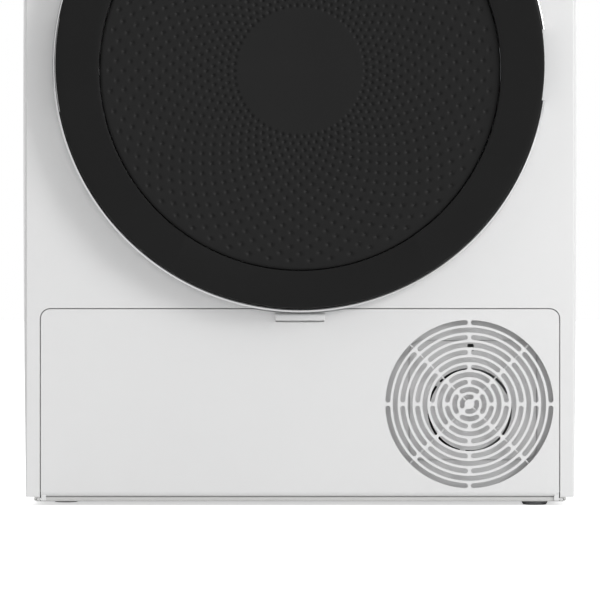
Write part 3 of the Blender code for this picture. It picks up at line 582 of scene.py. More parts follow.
GRILLE_X, GRILLE_Z = 0.1826, 0.1095
GRILLE_PITCH = 0.008
GRILLE_RINGS = 11
SLOT_HALF = 0.00265
BRIDGE_HALF = 0.0016
FLAP_FRONT = FLAP_LOW.y
FLAP_SKIN = 0.0025
FLAP_PIN_Y, FLAP_PIN_Z = -0.2826, 0.007

moulding_finish = Finish("white_moulding", (0.792, 0.793, 0.795), (0.808, 0.808, 0.807), (11.0, 3.0),
                         (200.0, 2.0, 0.08, 0.34), (1800.0, 1.0, 3e-05, 0.6))


def filled(outline, front, back):
    """A closed outline of (x, z) points, filled and pulled from front to back."""
    piece = trace([(x, front, z) for x, z in outline])
    bpy.ops.object.mode_set(mode="EDIT")
    bpy.ops.mesh.select_all(action="SELECT")
    bpy.ops.mesh.edge_face_add()
    bpy.ops.mesh.extrude_region_move(TRANSFORM_OT_translate={"value": (0.0, back - front, 0.0)})
    bpy.ops.mesh.select_all(action="SELECT")
    bpy.ops.mesh.normals_make_consistent(inside=False)
    done_editing()
    return piece


def ring_slot(radius, start, end):
    """A curved slot with round ends; start and end are the angles of its end walls, in degrees."""
    cap = math.degrees(SLOT_HALF / radius)
    first, last = start + cap, end - cap
    steps = max(2, round(radius * math.radians(last - first) / 0.004))
    tip = (GRILLE_X + radius * math.cos(math.radians(last)), GRILLE_Z + radius * math.sin(math.radians(last)))
    tail = (GRILLE_X + radius * math.cos(math.radians(first)), GRILLE_Z
            + radius * math.sin(math.radians(first)))
    outline = (arc(GRILLE_X, GRILLE_Z, radius + SLOT_HALF, first, last, steps)
               + arc(*tip, SLOT_HALF, last, last + 180, 6)[1:-1]
               + arc(GRILLE_X, GRILLE_Z, radius - SLOT_HALF, last, first, steps)
               + arc(*tail, SLOT_HALF, first + 180, first + 360, 6)[1:-1])
    return filled(outline, FLAP_FRONT - 0.004, FLAP_FRONT + 0.006)


def grille_slots():
    """Every slot of the grille as one cutter."""
    slots = []
    for ring in range(1, GRILLE_RINGS + 1):
        radius = GRILLE_PITCH * ring
        gap = math.degrees(BRIDGE_HALF / radius)
        if ring == 1:
            spans = [(45, 225), (225, 405)]
        else:
            turn = 0 if ring % 2 else 45
            spans = [(turn + 90 * quarter, turn + 90 * quarter + 90) for quarter in range(4)]
        slots += [ring_slot(radius, start + gap, end - gap) for start, end in spans]
    return joined(slots)


flap = flap_block(0.0, FLAP_FRONT, FLAP_FRONT + 0.008)
FLAP_RIM = 0.0025
carve(flap, carve(block((-FLAP_HALF + FLAP_RIM, FLAP_FRONT + FLAP_SKIN, FLAP_BOTTOM + FLAP_RIM),
                        (FLAP_HALF - FLAP_RIM, FLAP_FRONT + 0.02, FLAP_HIGH.z - FLAP_RIM)),
                  rod(FLAP_HOLLOW + FLAP_RIM, DOOR_X, DOOR_Z, -0.29, -0.25, 256)))
round_edges(flap, lambda middle, way: abs(way.x) > 0.9 and middle.z < FLAP_BOTTOM + 0.0005
            and middle.y < FLAP_FRONT + 0.0005, 0.0062, 10)
carve(flap, block((-0.026, -0.3, 0.198), (0.026, -0.279, 0.2035)), grille_slots())
soften(flap, 0.00045, 2, 50.0)
for side in (-1, 1):
    near, far = sorted((side * 0.2740, side * 0.2792))
    unite(flap, soften(block((near, FLAP_FRONT + 0.0002, FLAP_PIN_Z - 0.0016),
                             (far, FLAP_FRONT + 0.006, 0.012)), 0.0004))
    near, far = sorted((side * 0.278, side * 0.2836))
    unite(flap, bar(0.0013, (near, FLAP_PIN_Y, FLAP_PIN_Z), (far, FLAP_PIN_Y, FLAP_PIN_Z), 20))
settle(flap, "service_flap_moulding", moulding_finish, "flap", "white_plastic", "service_flap", flat=True)

bars = []
for turn in (45, 135):
    across = Vector((math.cos(math.radians(turn)), 0.0, math.sin(math.radians(turn))))
    middle = Vector((GRILLE_X, FLAP_FRONT + FLAP_SKIN + 0.0024, GRILLE_Z))
    for way in (-1, 1):
        start, end = middle + across * way * 0.0055, middle + across * way * 0.0915
        rib = bar(0.0010, start, end, 12)
        bars.append(rib)
settle(joined(bars), "grille_rear_bars", moulding_finish, "flap", "white_plastic")

TAB_LOW, TAB_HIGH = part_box("flap_latch")[0].z + 0.0016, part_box("flap_latch")[1].z
tab = block((-0.0268, FLAP_FRONT - 0.006, TAB_LOW), (0.0268, FLAP_FRONT - 0.0003, TAB_HIGH))
round_edges(tab, lambda middle, way: abs(way.x) > 0.9 and middle.z > 0.206 and middle.y < FLAP_FRONT - 0.004,
            0.0028, 6)
round_edges(tab, lambda middle, way: abs(way.z) > 0.8 and middle.y < FLAP_FRONT - 0.004, 0.0014, 5)
soften(tab, 0.0004, 2, 50.0)
neck = block((-0.0255, FLAP_FRONT - 0.001, 0.2002), (0.0255, FLAP_FRONT + 0.0065, 0.2028))
heel = block((-0.028, FLAP_FRONT + 0.0029, 0.1982), (0.028, FLAP_FRONT + 0.0065, 0.2025))
latch = unite(tab, neck, soften(heel, 0.0005))
settle(latch, "flap_latch_tab", moulding_finish, "latch", "white_plastic", "flap_latch")


# ---------------------------------------------------------------- fan shroud
# The white moulding behind the grille: a flat cover with a thin joint line round its raised middle,
# and a round slot through which the small fan draws its air. A clip hole shows above and beside it.

SHROUD_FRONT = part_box("fan_shroud")[0].y
COVER_X, COVER_Z = 0.1871, 0.1134
FAN_X, FAN_Z = 0.1836, 0.1024

shroud_finish = Finish("shroud_white", (0.64, 0.64, 0.645), (0.69, 0.69, 0.69), (14.0, 3.0),
                       (220.0, 2.0, 0.1, 0.45), (1800.0, 2.0, 4e-05, 0.6))


def rounded_block(low, high, corner, steps=8):
    """A plate that faces along Y, with round corners."""
    plate = block(low, high)
    return round_edges(plate, runs_deep, corner, steps)


def cover_block(spread, front, back):
    return rounded_block((COVER_X - 0.069 - spread, front, COVER_Z - 0.0645 - spread),
                         (COVER_X + 0.069 + spread, back, COVER_Z + 0.0645 + spread), 0.013 + spread)


shroud = rounded_block((0.086, SHROUD_FRONT, 0.014), (0.278, SHROUD_FRONT + 0.0026, 0.203), 0.006)
unite(shroud, cover_block(-0.0012, SHROUD_FRONT + 0.002, -0.226))
carve(shroud, cover_block(-0.0036, SHROUD_FRONT + 0.0026, -0.20))
groove = carve(cover_block(0.0006, SHROUD_FRONT - 0.002, SHROUD_FRONT + 0.0024),
               cover_block(-0.0006, SHROUD_FRONT - 0.004, SHROUD_FRONT + 0.004))
slots = []
for start in (24, 144, 264):
    turns = [math.radians(start + 112 * i / 24) for i in range(25)]
    slots.append(filled([(FAN_X + 0.0456 * math.cos(t), FAN_Z + 0.0456 * math.sin(t)) for t in turns]
                        + [(FAN_X + 0.0432 * math.cos(t), FAN_Z + 0.0432 * math.sin(t)) for t in turns[::-1]],
                        SHROUD_FRONT - 0.003, SHROUD_FRONT + 0.005))
carve(shroud, groove, joined(slots), rounded_block((0.1812, SHROUD_FRONT - 0.002, 0.1665),
                                                   (0.1880, SHROUD_FRONT + 0.004, 0.1745), 0.0012, 3))
strut = block((COVER_X - 0.0675, -0.231, FAN_Z - 0.005), (COVER_X + 0.0675, -0.227, FAN_Z + 0.005))
unite(shroud, strut, rod(0.014, FAN_X, FAN_Z, -0.2315, -0.212))
soften(shroud, 0.0003, 2, 50.0)
settle(shroud, "fan_shroud_moulding", shroud_finish, "cabinet", "white_plastic", "fan_shroud", flat=True)


# ---------------------------------------------------------------- door
# A round porthole door that swings on the right: a satin black ring, a thin bright rim round it, a
# dark dish pressed with rings of small dimples, and a light inner shell with its seal and steel catch.

DOOR_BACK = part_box("door_inner_shell")[1].y
RING_OUTER = 0.2626
TRIM_INNER, TRIM_OUTER = 0.2629, 0.2656
DISH_EDGE = 0.2142
DISH_Z = (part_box("door_dish")[0].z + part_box("door_dish")[1].z) / 2
HINGE_X, HINGE_Y = 0.254, -0.303
DIMPLES = 58
DIMPLE_RINGS = 19
DIMPLE_STEP = 0.0074
DIMPLE_OUTER = 0.2037
DIMPLE_RADIUS = 0.0029
DIMPLE_DEPTH = 0.0020

black_finish = Finish("satin_black", (0.005, 0.005, 0.005), (0.007, 0.007, 0.007), (14.0, 3.0),
                      (240.0, 2.0, 0.08, 0.32), (3200.0, 1.0, 2e-05, 0.5), specular_ior_level=0.19)

dish_finish = Finish("textured_black", (0.004, 0.004, 0.004), (0.006, 0.006, 0.006), (20.0, 3.0),
                     (300.0, 2.0, 0.08, 0.5), (2200.0, 2.0, 4e-05, 0.6), specular_ior_level=0.26)

bright_finish = Finish("bright_trim", (0.76, 0.76, 0.77), (0.84, 0.84, 0.85), (30.0, 2.0),
                       (120.0, 3.0, 0.08, 0.09), metallic=1.0)

pale_finish = Finish("pale_grey_moulding", (0.47, 0.48, 0.49), (0.52, 0.53, 0.54), (12.0, 3.0),
                     (260.0, 2.0, 0.1, 0.38), (2400.0, 2.0, 4e-05, 0.6))

steel_finish = Finish("stainless_steel", base_color=(0.60, 0.60, 0.61, 1.0), metallic=1.0)
steel_finish.set(base_color=steel_finish.shade((0.54, 0.54, 0.55), (0.66, 0.66, 0.67),
                                               steel_finish.noise(60.0, 4.0, steel_finish.stretched(y=0.1))),
                 roughness=steel_finish.noise(500.0, 2.0, steel_finish.stretched(y=0.04)) * 0.16 + 0.2)

zinc_finish = Finish("galvanised_sheet", base_color=(0.56, 0.58, 0.60, 1.0), roughness=0.4, metallic=1.0)
spangle = zinc_finish.place.node("ShaderNodeTexVoronoi", None, {"Vector": zinc_finish.place, "Scale": 70.0},
                                 1)
zinc_finish.set(base_color=zinc_finish.shade((0.54, 0.56, 0.58), (0.64, 0.66, 0.68), spangle),
    roughness=zinc_finish.noise(90.0, 3.0) * 0.2 + 0.3)


def grip_room(front):
    """The room for fingers behind the left edge of the door."""
    room = block((-0.300, front, DOOR_Z - 0.050), (-0.240, -0.270, DOOR_Z + 0.050))
    return round_edges(room, lambda middle, way: abs(way.y) > 0.9 and middle.x > -0.25, 0.016, 8)


def hinge_room():
    return block((0.236, -0.312, DOOR_Z - 0.038), (0.300, -0.270, DOOR_Z + 0.038))


ring = spun([(RING_OUTER, -0.291), (RING_OUTER, -0.3010), (0.2611, -0.3014), (0.2611, -0.3182)]
            + arc(0.2597, -0.3186, 0.0014, 0, -85, 5)[1:]
            + [(0.2540, -0.3197), (0.2200, -0.3178), (0.2050, -0.3170), (0.2050, -0.3135), (0.2260, -0.3155),
               (0.2505, -0.3170), (0.2545, -0.3150), (0.2584, -0.3060), (0.2600, -0.2990), (0.2600, -0.291),
               (RING_OUTER, -0.291)], DOOR_X, DOOR_Z, 180)
carve(ring, rod(DISH_EDGE + 0.0005, DOOR_X, DISH_Z, -0.33, -0.29, 180),
      grip_room(-0.309), hinge_room())
round_edges(ring, lambda middle, way: middle.y < -0.3165 and abs(way.y) < 0.3
            and abs(math.hypot(middle.x - DOOR_X, middle.z - DISH_Z) - DISH_EDGE - 0.0005) < 0.0004, 0.0005,
            2)
settle(ring, "door_black_ring", black_finish, "door", "black_gloss", "door_ring", angle=40.0)

trim = spun([(TRIM_INNER, -0.2895), (TRIM_INNER, -0.3034)] + arc(TRIM_INNER + 0.0005, -0.3035, 0.0005, 180,
                                                                 270, 3)[1:]
            + arc(TRIM_OUTER - 0.0018, -0.3022, 0.0018, 275, 360, 6)
            + [(TRIM_OUTER, -0.2908), (TRIM_OUTER - 0.0008, -0.2895), (TRIM_INNER, -0.2895)], DOOR_X, DOOR_Z,
            180)
carve(trim, grip_room(-0.301), hinge_room())
settle(trim, "door_bright_rim", bright_finish, "door", "chrome", "door_trim", angle=40.0)

row = DIMPLE_STEP / 6
dimpled_from = DIMPLE_OUTER - DIMPLE_STEP * (DIMPLE_RINGS - 0.5)


def dish_front(radius):
    """How far forward the dish's face is at a distance from its middle."""
    return -0.3030 - 0.0094 * (radius / DISH_EDGE) ** 1.7


rows = round((DIMPLE_OUTER + DIMPLE_STEP / 2 - dimpled_from) / row)
radii = [dimpled_from * share for share in (0.0, 0.25, 0.5, 0.75, 0.92)]
radii += [dimpled_from + row * i for i in range(rows + 1)] + [0.2102, 0.2134]
profile = [(radius, dish_front(radius)) for radius in radii]
profile += [(DISH_EDGE - 0.0002, -0.3120), (DISH_EDGE, -0.3114), (DISH_EDGE, -0.3096), (0.18, -0.3070),
            (0.10, -0.3025), (0.0, -0.3000)]
COLUMNS = 12
dish = spun(profile, DOOR_X, DISH_Z, DIMPLES * COLUMNS)
half_pitch = math.pi / DIMPLES
for point in dish.data.vertices:
    across, up = point.co.x - DOOR_X, point.co.z - DISH_Z
    radius = math.hypot(across, up)
    if not -0.0001 < radius - dimpled_from < DIMPLE_STEP * DIMPLE_RINGS + 0.0001:
        continue
    if point.co.y > dish_front(radius) + 0.001:
        continue
    turn = math.atan2(up, across)
    turn -= 0.52 * half_pitch / math.tau * math.sin(math.tau * turn / half_pitch)
    ring_number = round((DIMPLE_OUTER - radius) / DIMPLE_STEP)
    start = (ring_number % 2) * half_pitch
    nearest = round((turn - start) / (2 * half_pitch)) * 2 * half_pitch + start
    off = math.hypot((turn - nearest) * radius, DIMPLE_OUTER - ring_number * DIMPLE_STEP - radius)
    sink = DIMPLE_DEPTH * (1 + math.cos(math.pi * min(1.0, off / DIMPLE_RADIUS))) / 2
    point.co = (DOOR_X + radius * math.cos(turn), point.co.y + sink, DISH_Z + radius * math.sin(turn))
settle(dish, "door_dimpled_dish", dish_finish, "door", "dark_plastic", "door_dish", angle=60.0)

rim = RING_OUTER - 0.0030
shell = spun([(0.0, -0.262), (0.110, -0.262), (0.1275, -0.2628), (0.1400, -0.2648), (0.1475, -0.2690),
              (0.1530, -0.2790), (0.1555, -0.2855), (0.1572, -0.2874), (0.1600, DOOR_BACK),
              (0.1960, DOOR_BACK),
              (0.1972, -0.2886), (0.2002, -0.2886), (0.2014, DOOR_BACK), (0.2106, DOOR_BACK),
              (0.2118, -0.2886),
              (0.2160, -0.2886), (0.2172, DOOR_BACK), (rim - 0.0012, DOOR_BACK), (rim, -0.2890),
              (rim, -0.2906),
              (0.156, -0.2906), (0.1415, -0.2686), (0.117, -0.2646), (0.0, -0.2646)], DOOR_X, DOOR_Z, 144)
catch_slot = block((-0.2134, -0.300, DOOR_Z - 0.0064), (-0.2086, -0.280, DOOR_Z + 0.0064))
carve(shell, grip_room(-0.309), hinge_room(), catch_slot)
settle(shell, "door_inner_shell_moulding", pale_finish, "door", "grey_plastic", "door_inner_shell",
       angle=40.0)

seal_finish = Finish("grey_seal_rubber", (0.14, 0.145, 0.15), (0.19, 0.195, 0.20), (150.0, 3.0),
                     (500.0, 2.0, 0.12, 0.5), (2500.0, 2.0, 5e-05, 1.0))
seal = spun([(0.2100, -0.2877), (0.2020, -0.2877), (0.2020, -0.2862)]
            + arc(0.2036, -0.2856, 0.0013, 200, 60, 6)
            + [(0.2050, -0.2858), (0.2066, -0.2857)] + arc(0.2084, -0.2857, 0.0014, 130, 0, 6)
            + [(0.2100, -0.2866), (0.2100, -0.2877)], DOOR_X, DOOR_Z, 144)
carve(seal, block((-0.2160, -0.300, DOOR_Z - 0.0064), (-0.2000, -0.280, DOOR_Z + 0.0064)))
settle(seal, "door_sealing_ring", seal_finish, "door", "rubber", "door_seal", angle=40.0)

catch = block((-0.2160, -0.3000, DOOR_Z - 0.014), (-0.2060, -0.2912, DOOR_Z + 0.014))
soften(catch, 0.0012)
hook = block((-0.2130, -0.2920, DOOR_Z - 0.006), (-0.2090, -0.2680, DOOR_Z + 0.006))
round_edges(hook, lambda middle, way: abs(way.x) > 0.9 and middle.y > -0.27, 0.0040, 8)
eye = block((-0.2200, -0.2775, DOOR_Z - 0.0030), (-0.2000, -0.2722, DOOR_Z + 0.0030))
carve(hook, eye)
soften(hook, 0.0005)
settle(unite(catch, hook), "door_steel_catch", steel_finish, "door", "steel", "door_catch")


def screw_head(place, facing, radius=0.0034, height=0.0017):
    """A pan head with a cross recess; facing is +1 for a head that looks backwards, -1 forwards."""
    x, y, z = place
    rise = [(radius, y), (radius, y + facing * height * 0.3), (radius * 0.88, y + facing * height * 0.72),
            (radius * 0.55, y + facing * height * 0.95), (0.0, y + facing * height)]
    head = spun([(0.0, y)] + rise, x, z, 20)
    top = y + facing * height
    low, high = sorted((top - facing * height * 0.6, top + facing * 0.001))
    arm, half = radius * 0.58, radius * 0.13
    return carve(head, block((x - arm, low, z - half), (x + arm, high, z + half)),
                 block((x - half, low, z - arm), (x + half, high, z + arm)))


def copies(first, moves):
    """The first piece and a copy of it for every move, joined."""
    made = [first]
    for move in moves:
        twin = first.copy()
        twin.data = first.data.copy()
        bpy.context.scene.collection.objects.link(twin)
        twin.location = move
        work_on(twin)
        bpy.ops.object.transform_apply(location=True, rotation=True, scale=True)
        made.append(twin)
    return joined(made)


screw_ring = [(0.2385 * math.cos(math.radians(turn)), 0.2385 * math.sin(math.radians(turn)))
              for turn in (30, 60, 90, 120, 150, 210, 240, 270, 300, 330)]
first_x, first_z = screw_ring[0]
screws = copies(screw_head((DOOR_X + first_x, DOOR_BACK, DOOR_Z + first_z), 1),
                [(x - first_x, 0.0, z - first_z) for x, z in screw_ring[1:]])
settle(screws, "door_shell_screws", plated_finish, "door", "zinc")

arm = bar(0.005, (HINGE_X, HINGE_Y, DOOR_Z - 0.020), (HINGE_X, HINGE_Y, DOOR_Z + 0.020))
leaf = block((0.200, -0.306, DOOR_Z - 0.018), (HINGE_X - 0.001, -0.300, DOOR_Z + 0.018))
round_edges(leaf, lambda middle, way: abs(way.y) > 0.9 and middle.x < 0.21, 0.008, 6)
unite(arm, leaf)
carve(arm, bar(0.0028, (HINGE_X, HINGE_Y, DOOR_Z - 0.03), (HINGE_X, HINGE_Y, DOOR_Z + 0.03), 24))
settle(soften(arm, 0.0006), "door_hinge_leaf", zinc_finish, "door", "zinc", "door_hinge_arm")

base = block((0.240, PANEL_LOW.y - 0.003, DOOR_Z - 0.034), (0.2530, PANEL_LOW.y - 0.0003, DOOR_Z + 0.034))
round_edges(base, runs_deep, 0.004, 5)
for side in (-1, 1):
    low, high = sorted((DOOR_Z + side * 0.021, DOOR_Z + side * 0.033))
    unite(base, block((0.2455, HINGE_Y, low), (0.252, PANEL_LOW.y - 0.001, high)),
          bar(0.005, (HINGE_X, HINGE_Y, low), (HINGE_X, HINGE_Y, high)))
soften(base, 0.0005)
unite(base, bar(0.0024, (HINGE_X, HINGE_Y, DOOR_Z - 0.0335), (HINGE_X, HINGE_Y, DOOR_Z + 0.0335), 24))
settle(base, "door_hinge_bracket", zinc_finish, "cabinet", "zinc", "door_hinge_base")


# ---------------------------------------------------------------- loading mouth
# The moulded ring that joins the front panel to the drum. The lint filter drops into a pocket in its
# foot, two pairs of steel strips feel how damp the laundry is, and a lamp sits in its crown.

BORE = 0.188
mouth = spun([(BORE + 0.0004, -0.2834), (BORE + 0.0010, -0.2840), (BORE + 0.0034, -0.2840),
              (BORE + 0.0034, -0.2320),
              (0.2845, -0.2320), (0.2860, -0.2314), (0.2860, -0.2290), (0.2560, -0.2290), (0.2545, -0.2296),
              (0.2465, -0.2296), (0.2450, -0.2290), (BORE + 0.0034, -0.2290), (BORE + 0.0034, -0.2064),
              (BORE + 0.0028, -0.2052), (BORE + 0.0010, -0.2052), (BORE, -0.2062), (BORE, -0.2826),
              (BORE + 0.0004, -0.2834)], DOOR_X, DOOR_Z, 144)
pocket = block((-0.085, -0.262, 0.196), (0.085, -0.240, 0.310))
round_edges(pocket, runs_deep, 0.006, 4)
carve(unite(mouth, pocket), rod(BORE, DOOR_X, DOOR_Z, -0.30, -0.19, 144),
      block((-0.081, -0.258, 0.1995), (0.081, -0.244, 0.330)))
settle(mouth, "loading_mouth_moulding", pale_finish, "cabinet", "grey_plastic", "loading_mouth", angle=40.0)

felt_finish = Finish("seal_felt", (0.22, 0.21, 0.20), (0.40, 0.385, 0.36), (420.0, 6.0),
                     relief=(900.0, 6.0, 0.0006, 1.0), roughness=0.95)
felt = spun([(0.2275, -0.2287), (0.2275, -0.2175), (0.2290, -0.2157), (0.2430, -0.2157), (0.2445, -0.2175),
             (0.2445, -0.2287), (0.2275, -0.2287)], 0.0, middle_of("drum_rear_wall").z, 96)
settle(felt, "drum_front_felt", felt_finish, "cabinet", "rubber")

strips = []
for middle in (232, 308):
    for front in (-0.2300, -0.2170):
        inner = arc(DOOR_X, DOOR_Z, BORE - 0.0008, middle - 12, middle + 12, 14)
        outer = arc(DOOR_X, DOOR_Z, BORE + 0.0006, middle + 12, middle - 12, 14)
        strips.append(soften(filled(inner + outer, front, front + 0.007), 0.0002, 2, 50.0))
settle(joined(strips), "damp_feeler_strips", steel_finish, "cabinet", "steel")

lens_finish = Finish("frosted_lens", gloss=(500.0, 2.0, 0.1, 0.3), relief=(900.0, 1.0, 6e-05, 1.0),
                     base_color=(0.86, 0.87, 0.88, 1.0), transmission_weight=0.55, ior=1.45)
LAMP_LOW, LAMP_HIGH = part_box("drum_lamp")
lens = block(LAMP_LOW, LAMP_HIGH)
round_edges(lens, lambda middle, way: middle.z < LAMP_LOW.z + 0.001 or abs(way.z) > 0.9, 0.0026, 5)
settle(lens, "drum_lamp_lens", lens_finish, "cabinet", "clear_lens", "drum_lamp")

dark_finish = Finish("dark_moulding", (0.038, 0.039, 0.042), (0.055, 0.056, 0.060), (40.0, 3.0),
                     (300.0, 2.0, 0.12, 0.4), (2400.0, 2.0, 5e-05, 1.0))
LOCK_LOW, LOCK_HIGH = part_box("door_lock")
lock = soften(block(LOCK_LOW, LOCK_HIGH), 0.0018)
carve(lock, block((-0.219, -0.30, DOOR_Z - 0.011), (-0.202, LOCK_HIGH.y - 0.002, DOOR_Z + 0.011)))
settle(lock, "door_lock_case", dark_finish, "cabinet", "dark_plastic", "door_lock")
lock_screws = copies(screw_head((-0.211, PANEL_LOW.y, DOOR_Z + 0.018), -1, 0.0030, 0.0014),
                     [(0.0, 0.0, -0.036)])
settle(lock_screws, "door_lock_screws", plated_finish, "cabinet", "zinc")

LINT_LOW, LINT_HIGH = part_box("lint_filter")
frame_piece = block(LINT_LOW, LINT_HIGH)
round_edges(frame_piece, runs_deep, 0.003, 4)
for column in range(3):
    left = -0.074 + 0.0505 * column
    carve(frame_piece, round_edges(block((left, LINT_LOW.y + 0.0035, 0.206), (left + 0.0465, -0.240, 0.278)),
                                   runs_deep, 0.003, 3),
          round_edges(block((left + 0.004, LINT_LOW.y - 0.003, 0.210),
                            (left + 0.0425, LINT_LOW.y + 0.006, 0.274)),
                      runs_deep, 0.003, 3))
thumb = block((-0.022, LINT_LOW.y + 0.003, 0.2835), (0.022, LINT_HIGH.y + 0.002, 0.2935))
carve(frame_piece, round_edges(thumb, runs_deep, 0.004, 4))
settle(soften(frame_piece, 0.0004, 2, 50.0), "lint_filter_frame", dark_finish, "filter", "dark_plastic",
       "lint_filter")

gauze_finish = Finish("filter_gauze", base_color=(0.42, 0.43, 0.44, 1.0), roughness=0.6)
weave = gauze_finish.place.node("ShaderNodeTexChecker", None, {"Vector": gauze_finish.place, "Scale": 900.0},
                                1)
gauze_finish.set(base_color=gauze_finish.shade((0.16, 0.165, 0.17), (0.50, 0.51, 0.52), weave))
gauze_finish.grain(weave, 0.0002)
threads = []
for column in range(3):
    left = -0.0720 + 0.0505 * column
    for i in range(15):
        threads.append(block((left + 0.0015 + 0.0028 * i, -0.2520, 0.208),
                             (left + 0.0021 + 0.0028 * i, -0.2515, 0.276)))
    for i in range(24):
        threads.append(block((left, -0.2520, 0.2095 + 0.0028 * i),
                             (left + 0.0425, -0.2515, 0.2101 + 0.0028 * i)))
settle(joined(threads), "lint_filter_gauze", gauze_finish, "filter", "dark_plastic")


# ---------------------------------------------------------------- drum
# A stainless drum on its rear shaft and two front rollers: a rolled shell with stiffening beads,
# three plastic lifters, and a rear wall pressed full of holes for the hot air.

DRUM_LOW, DRUM_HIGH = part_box("drum_shell")
DRUM_R = (DRUM_HIGH.x - DRUM_LOW.x) / 2
DRUM_X, DRUM_Z = 0.0, middle_of("drum_shell").z
WALL = 0.0012


def bead(middle, half=0.008, depth=0.0026, steps=6):
    """Points of a shallow inward groove rolled round the drum, as (how deep, place) pairs."""
    return [(depth * (1 + math.cos(math.pi * i / steps)) / 2, middle + half * i / steps)
            for i in range(-steps, steps + 1)]


beads = bead(-0.150) + bead(-0.060) + bead(0.030) + bead(0.165)
outside = [(DRUM_R, DRUM_HIGH.y)] + [(DRUM_R - deep, place) for deep, place in beads[::-1]]
outside += [(DRUM_R, DRUM_LOW.y + 0.004), (DRUM_R - 0.0012, DRUM_LOW.y + 0.0012),
            (DRUM_R - 0.004, DRUM_LOW.y),
            (0.2265, DRUM_LOW.y), (0.2247, DRUM_LOW.y + 0.0006), (0.2247, DRUM_LOW.y + 0.0014),
            (DRUM_R - 0.005, DRUM_LOW.y + 0.0014), (DRUM_R - WALL - 0.001, DRUM_LOW.y + 0.0026),
            (DRUM_R - WALL, DRUM_LOW.y + 0.006)]
outside += [(DRUM_R - WALL - deep, place) for deep, place in beads] + [(DRUM_R - WALL, DRUM_HIGH.y),
                                                                    (DRUM_R, DRUM_HIGH.y)]
settle(spun(outside, DRUM_X, DRUM_Z, 144), "drum_rolled_shell", steel_finish, "drum", "steel", "drum_shell")

wall_low, wall_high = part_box("drum_rear_wall")
disc = (wall_high.x - wall_low.x) / 2
rear_wall = spun([(0.0, 0.2830), (0.0108, 0.2830), (0.0120, 0.2818), (0.0120, 0.2580), (0.0400, 0.2580),
                  (0.0430, 0.2562), (0.0460, 0.2480), (0.0700, 0.2480), (0.1080, 0.2478), (0.2120, 0.2478),
                  (0.2160, 0.2480), (disc, 0.2480), (disc, 0.2462), (0.2160, 0.2462), (0.2120, 0.2460),
                  (0.1080, 0.2460), (0.0700, 0.2460), (0.0, 0.2460)], DRUM_X, DRUM_Z, 96)
holes = []
for cluster in range(8):
    turn = math.tau * (cluster + 0.5) / 8
    for across in range(-4, 5):
        for out in range(-4, 5):
            x = 0.0102 * (across + 0.5 * (out % 2))
            y = 0.0088 * out
            if math.hypot(x, y) > 0.0385:
                continue
            along = 0.160 + x
            holes.append((along * math.cos(turn) - y * math.sin(turn), along * math.sin(turn)
                          + y * math.cos(turn)))
first_x, first_z = holes[0]
punch = copies(rod(0.0034, DRUM_X + first_x, DRUM_Z + first_z, 0.240, 0.256, 8),
               [(x - first_x, 0.0, z - first_z) for x, z in holes[1:]])
carve(rear_wall, punch)
settle(rear_wall, "drum_pierced_wall", steel_finish, "drum", "steel", "drum_rear_wall")

lifter_finish = Finish("lifter_moulding", (0.37, 0.38, 0.39), (0.43, 0.44, 0.45), (30.0, 3.0),
                       (260.0, 2.0, 0.1, 0.33), (1600.0, 2.0, 5e-05, 0.7))
for number in range(3):
    turn = math.radians(90 + 120 * number)
    section = [(0.2565, -0.0350), (0.2540, -0.0345), (0.2380, -0.0200), (0.2200, -0.0105), (0.2145, -0.0075),
               (0.2124, -0.0035), (0.2120, 0.0), (0.2124, 0.0035), (0.2145, 0.0075), (0.2200, 0.0105),
               (0.2380, 0.0200), (0.2540, 0.0345), (0.2565, 0.0350)]
    outline = [(DRUM_X + radial * math.cos(turn) - side * math.sin(turn),
                DRUM_Z + radial * math.sin(turn) + side * math.cos(turn)) for radial, side in section]
    lifter = filled(outline, -0.190, 0.232)
    round_edges(lifter, lambda middle, way: abs(way.y) < 0.1, 0.0025, 4)
    pierce = []
    for i in range(9):
        y = -0.158 + 0.0447 * i
        start = (DRUM_X + 0.228 * math.cos(turn) + 0.03 * math.sin(turn),
                 y, DRUM_Z + 0.228 * math.sin(turn) - 0.03 * math.cos(turn))
        end = (DRUM_X + 0.228 * math.cos(turn) - 0.03 * math.sin(turn),
               y, DRUM_Z + 0.228 * math.sin(turn) + 0.03 * math.cos(turn))
        pierce.append(bar(0.0042, start, end, 16))
    carve(lifter, joined(pierce))
    settle(lifter, f"drum_lifter_fin_{number + 1}", lifter_finish, "drum", "grey_plastic",
           f"drum_lifter_{number + 1}")

bearing = spun([(0.0126, 0.2660), (0.0225, 0.2660), (0.0240, 0.2672), (0.0240, 0.2850), (0.0205, 0.2850),
                (0.0200, 0.2836), (0.0160, 0.2836), (0.0155, 0.2850), (0.0126, 0.2850), (0.0126, 0.2660)],
               DRUM_X, DRUM_Z, 64)
settle(bearing, "rear_bearing_ring", steel_finish, "cabinet", "steel", "rear_bearing")

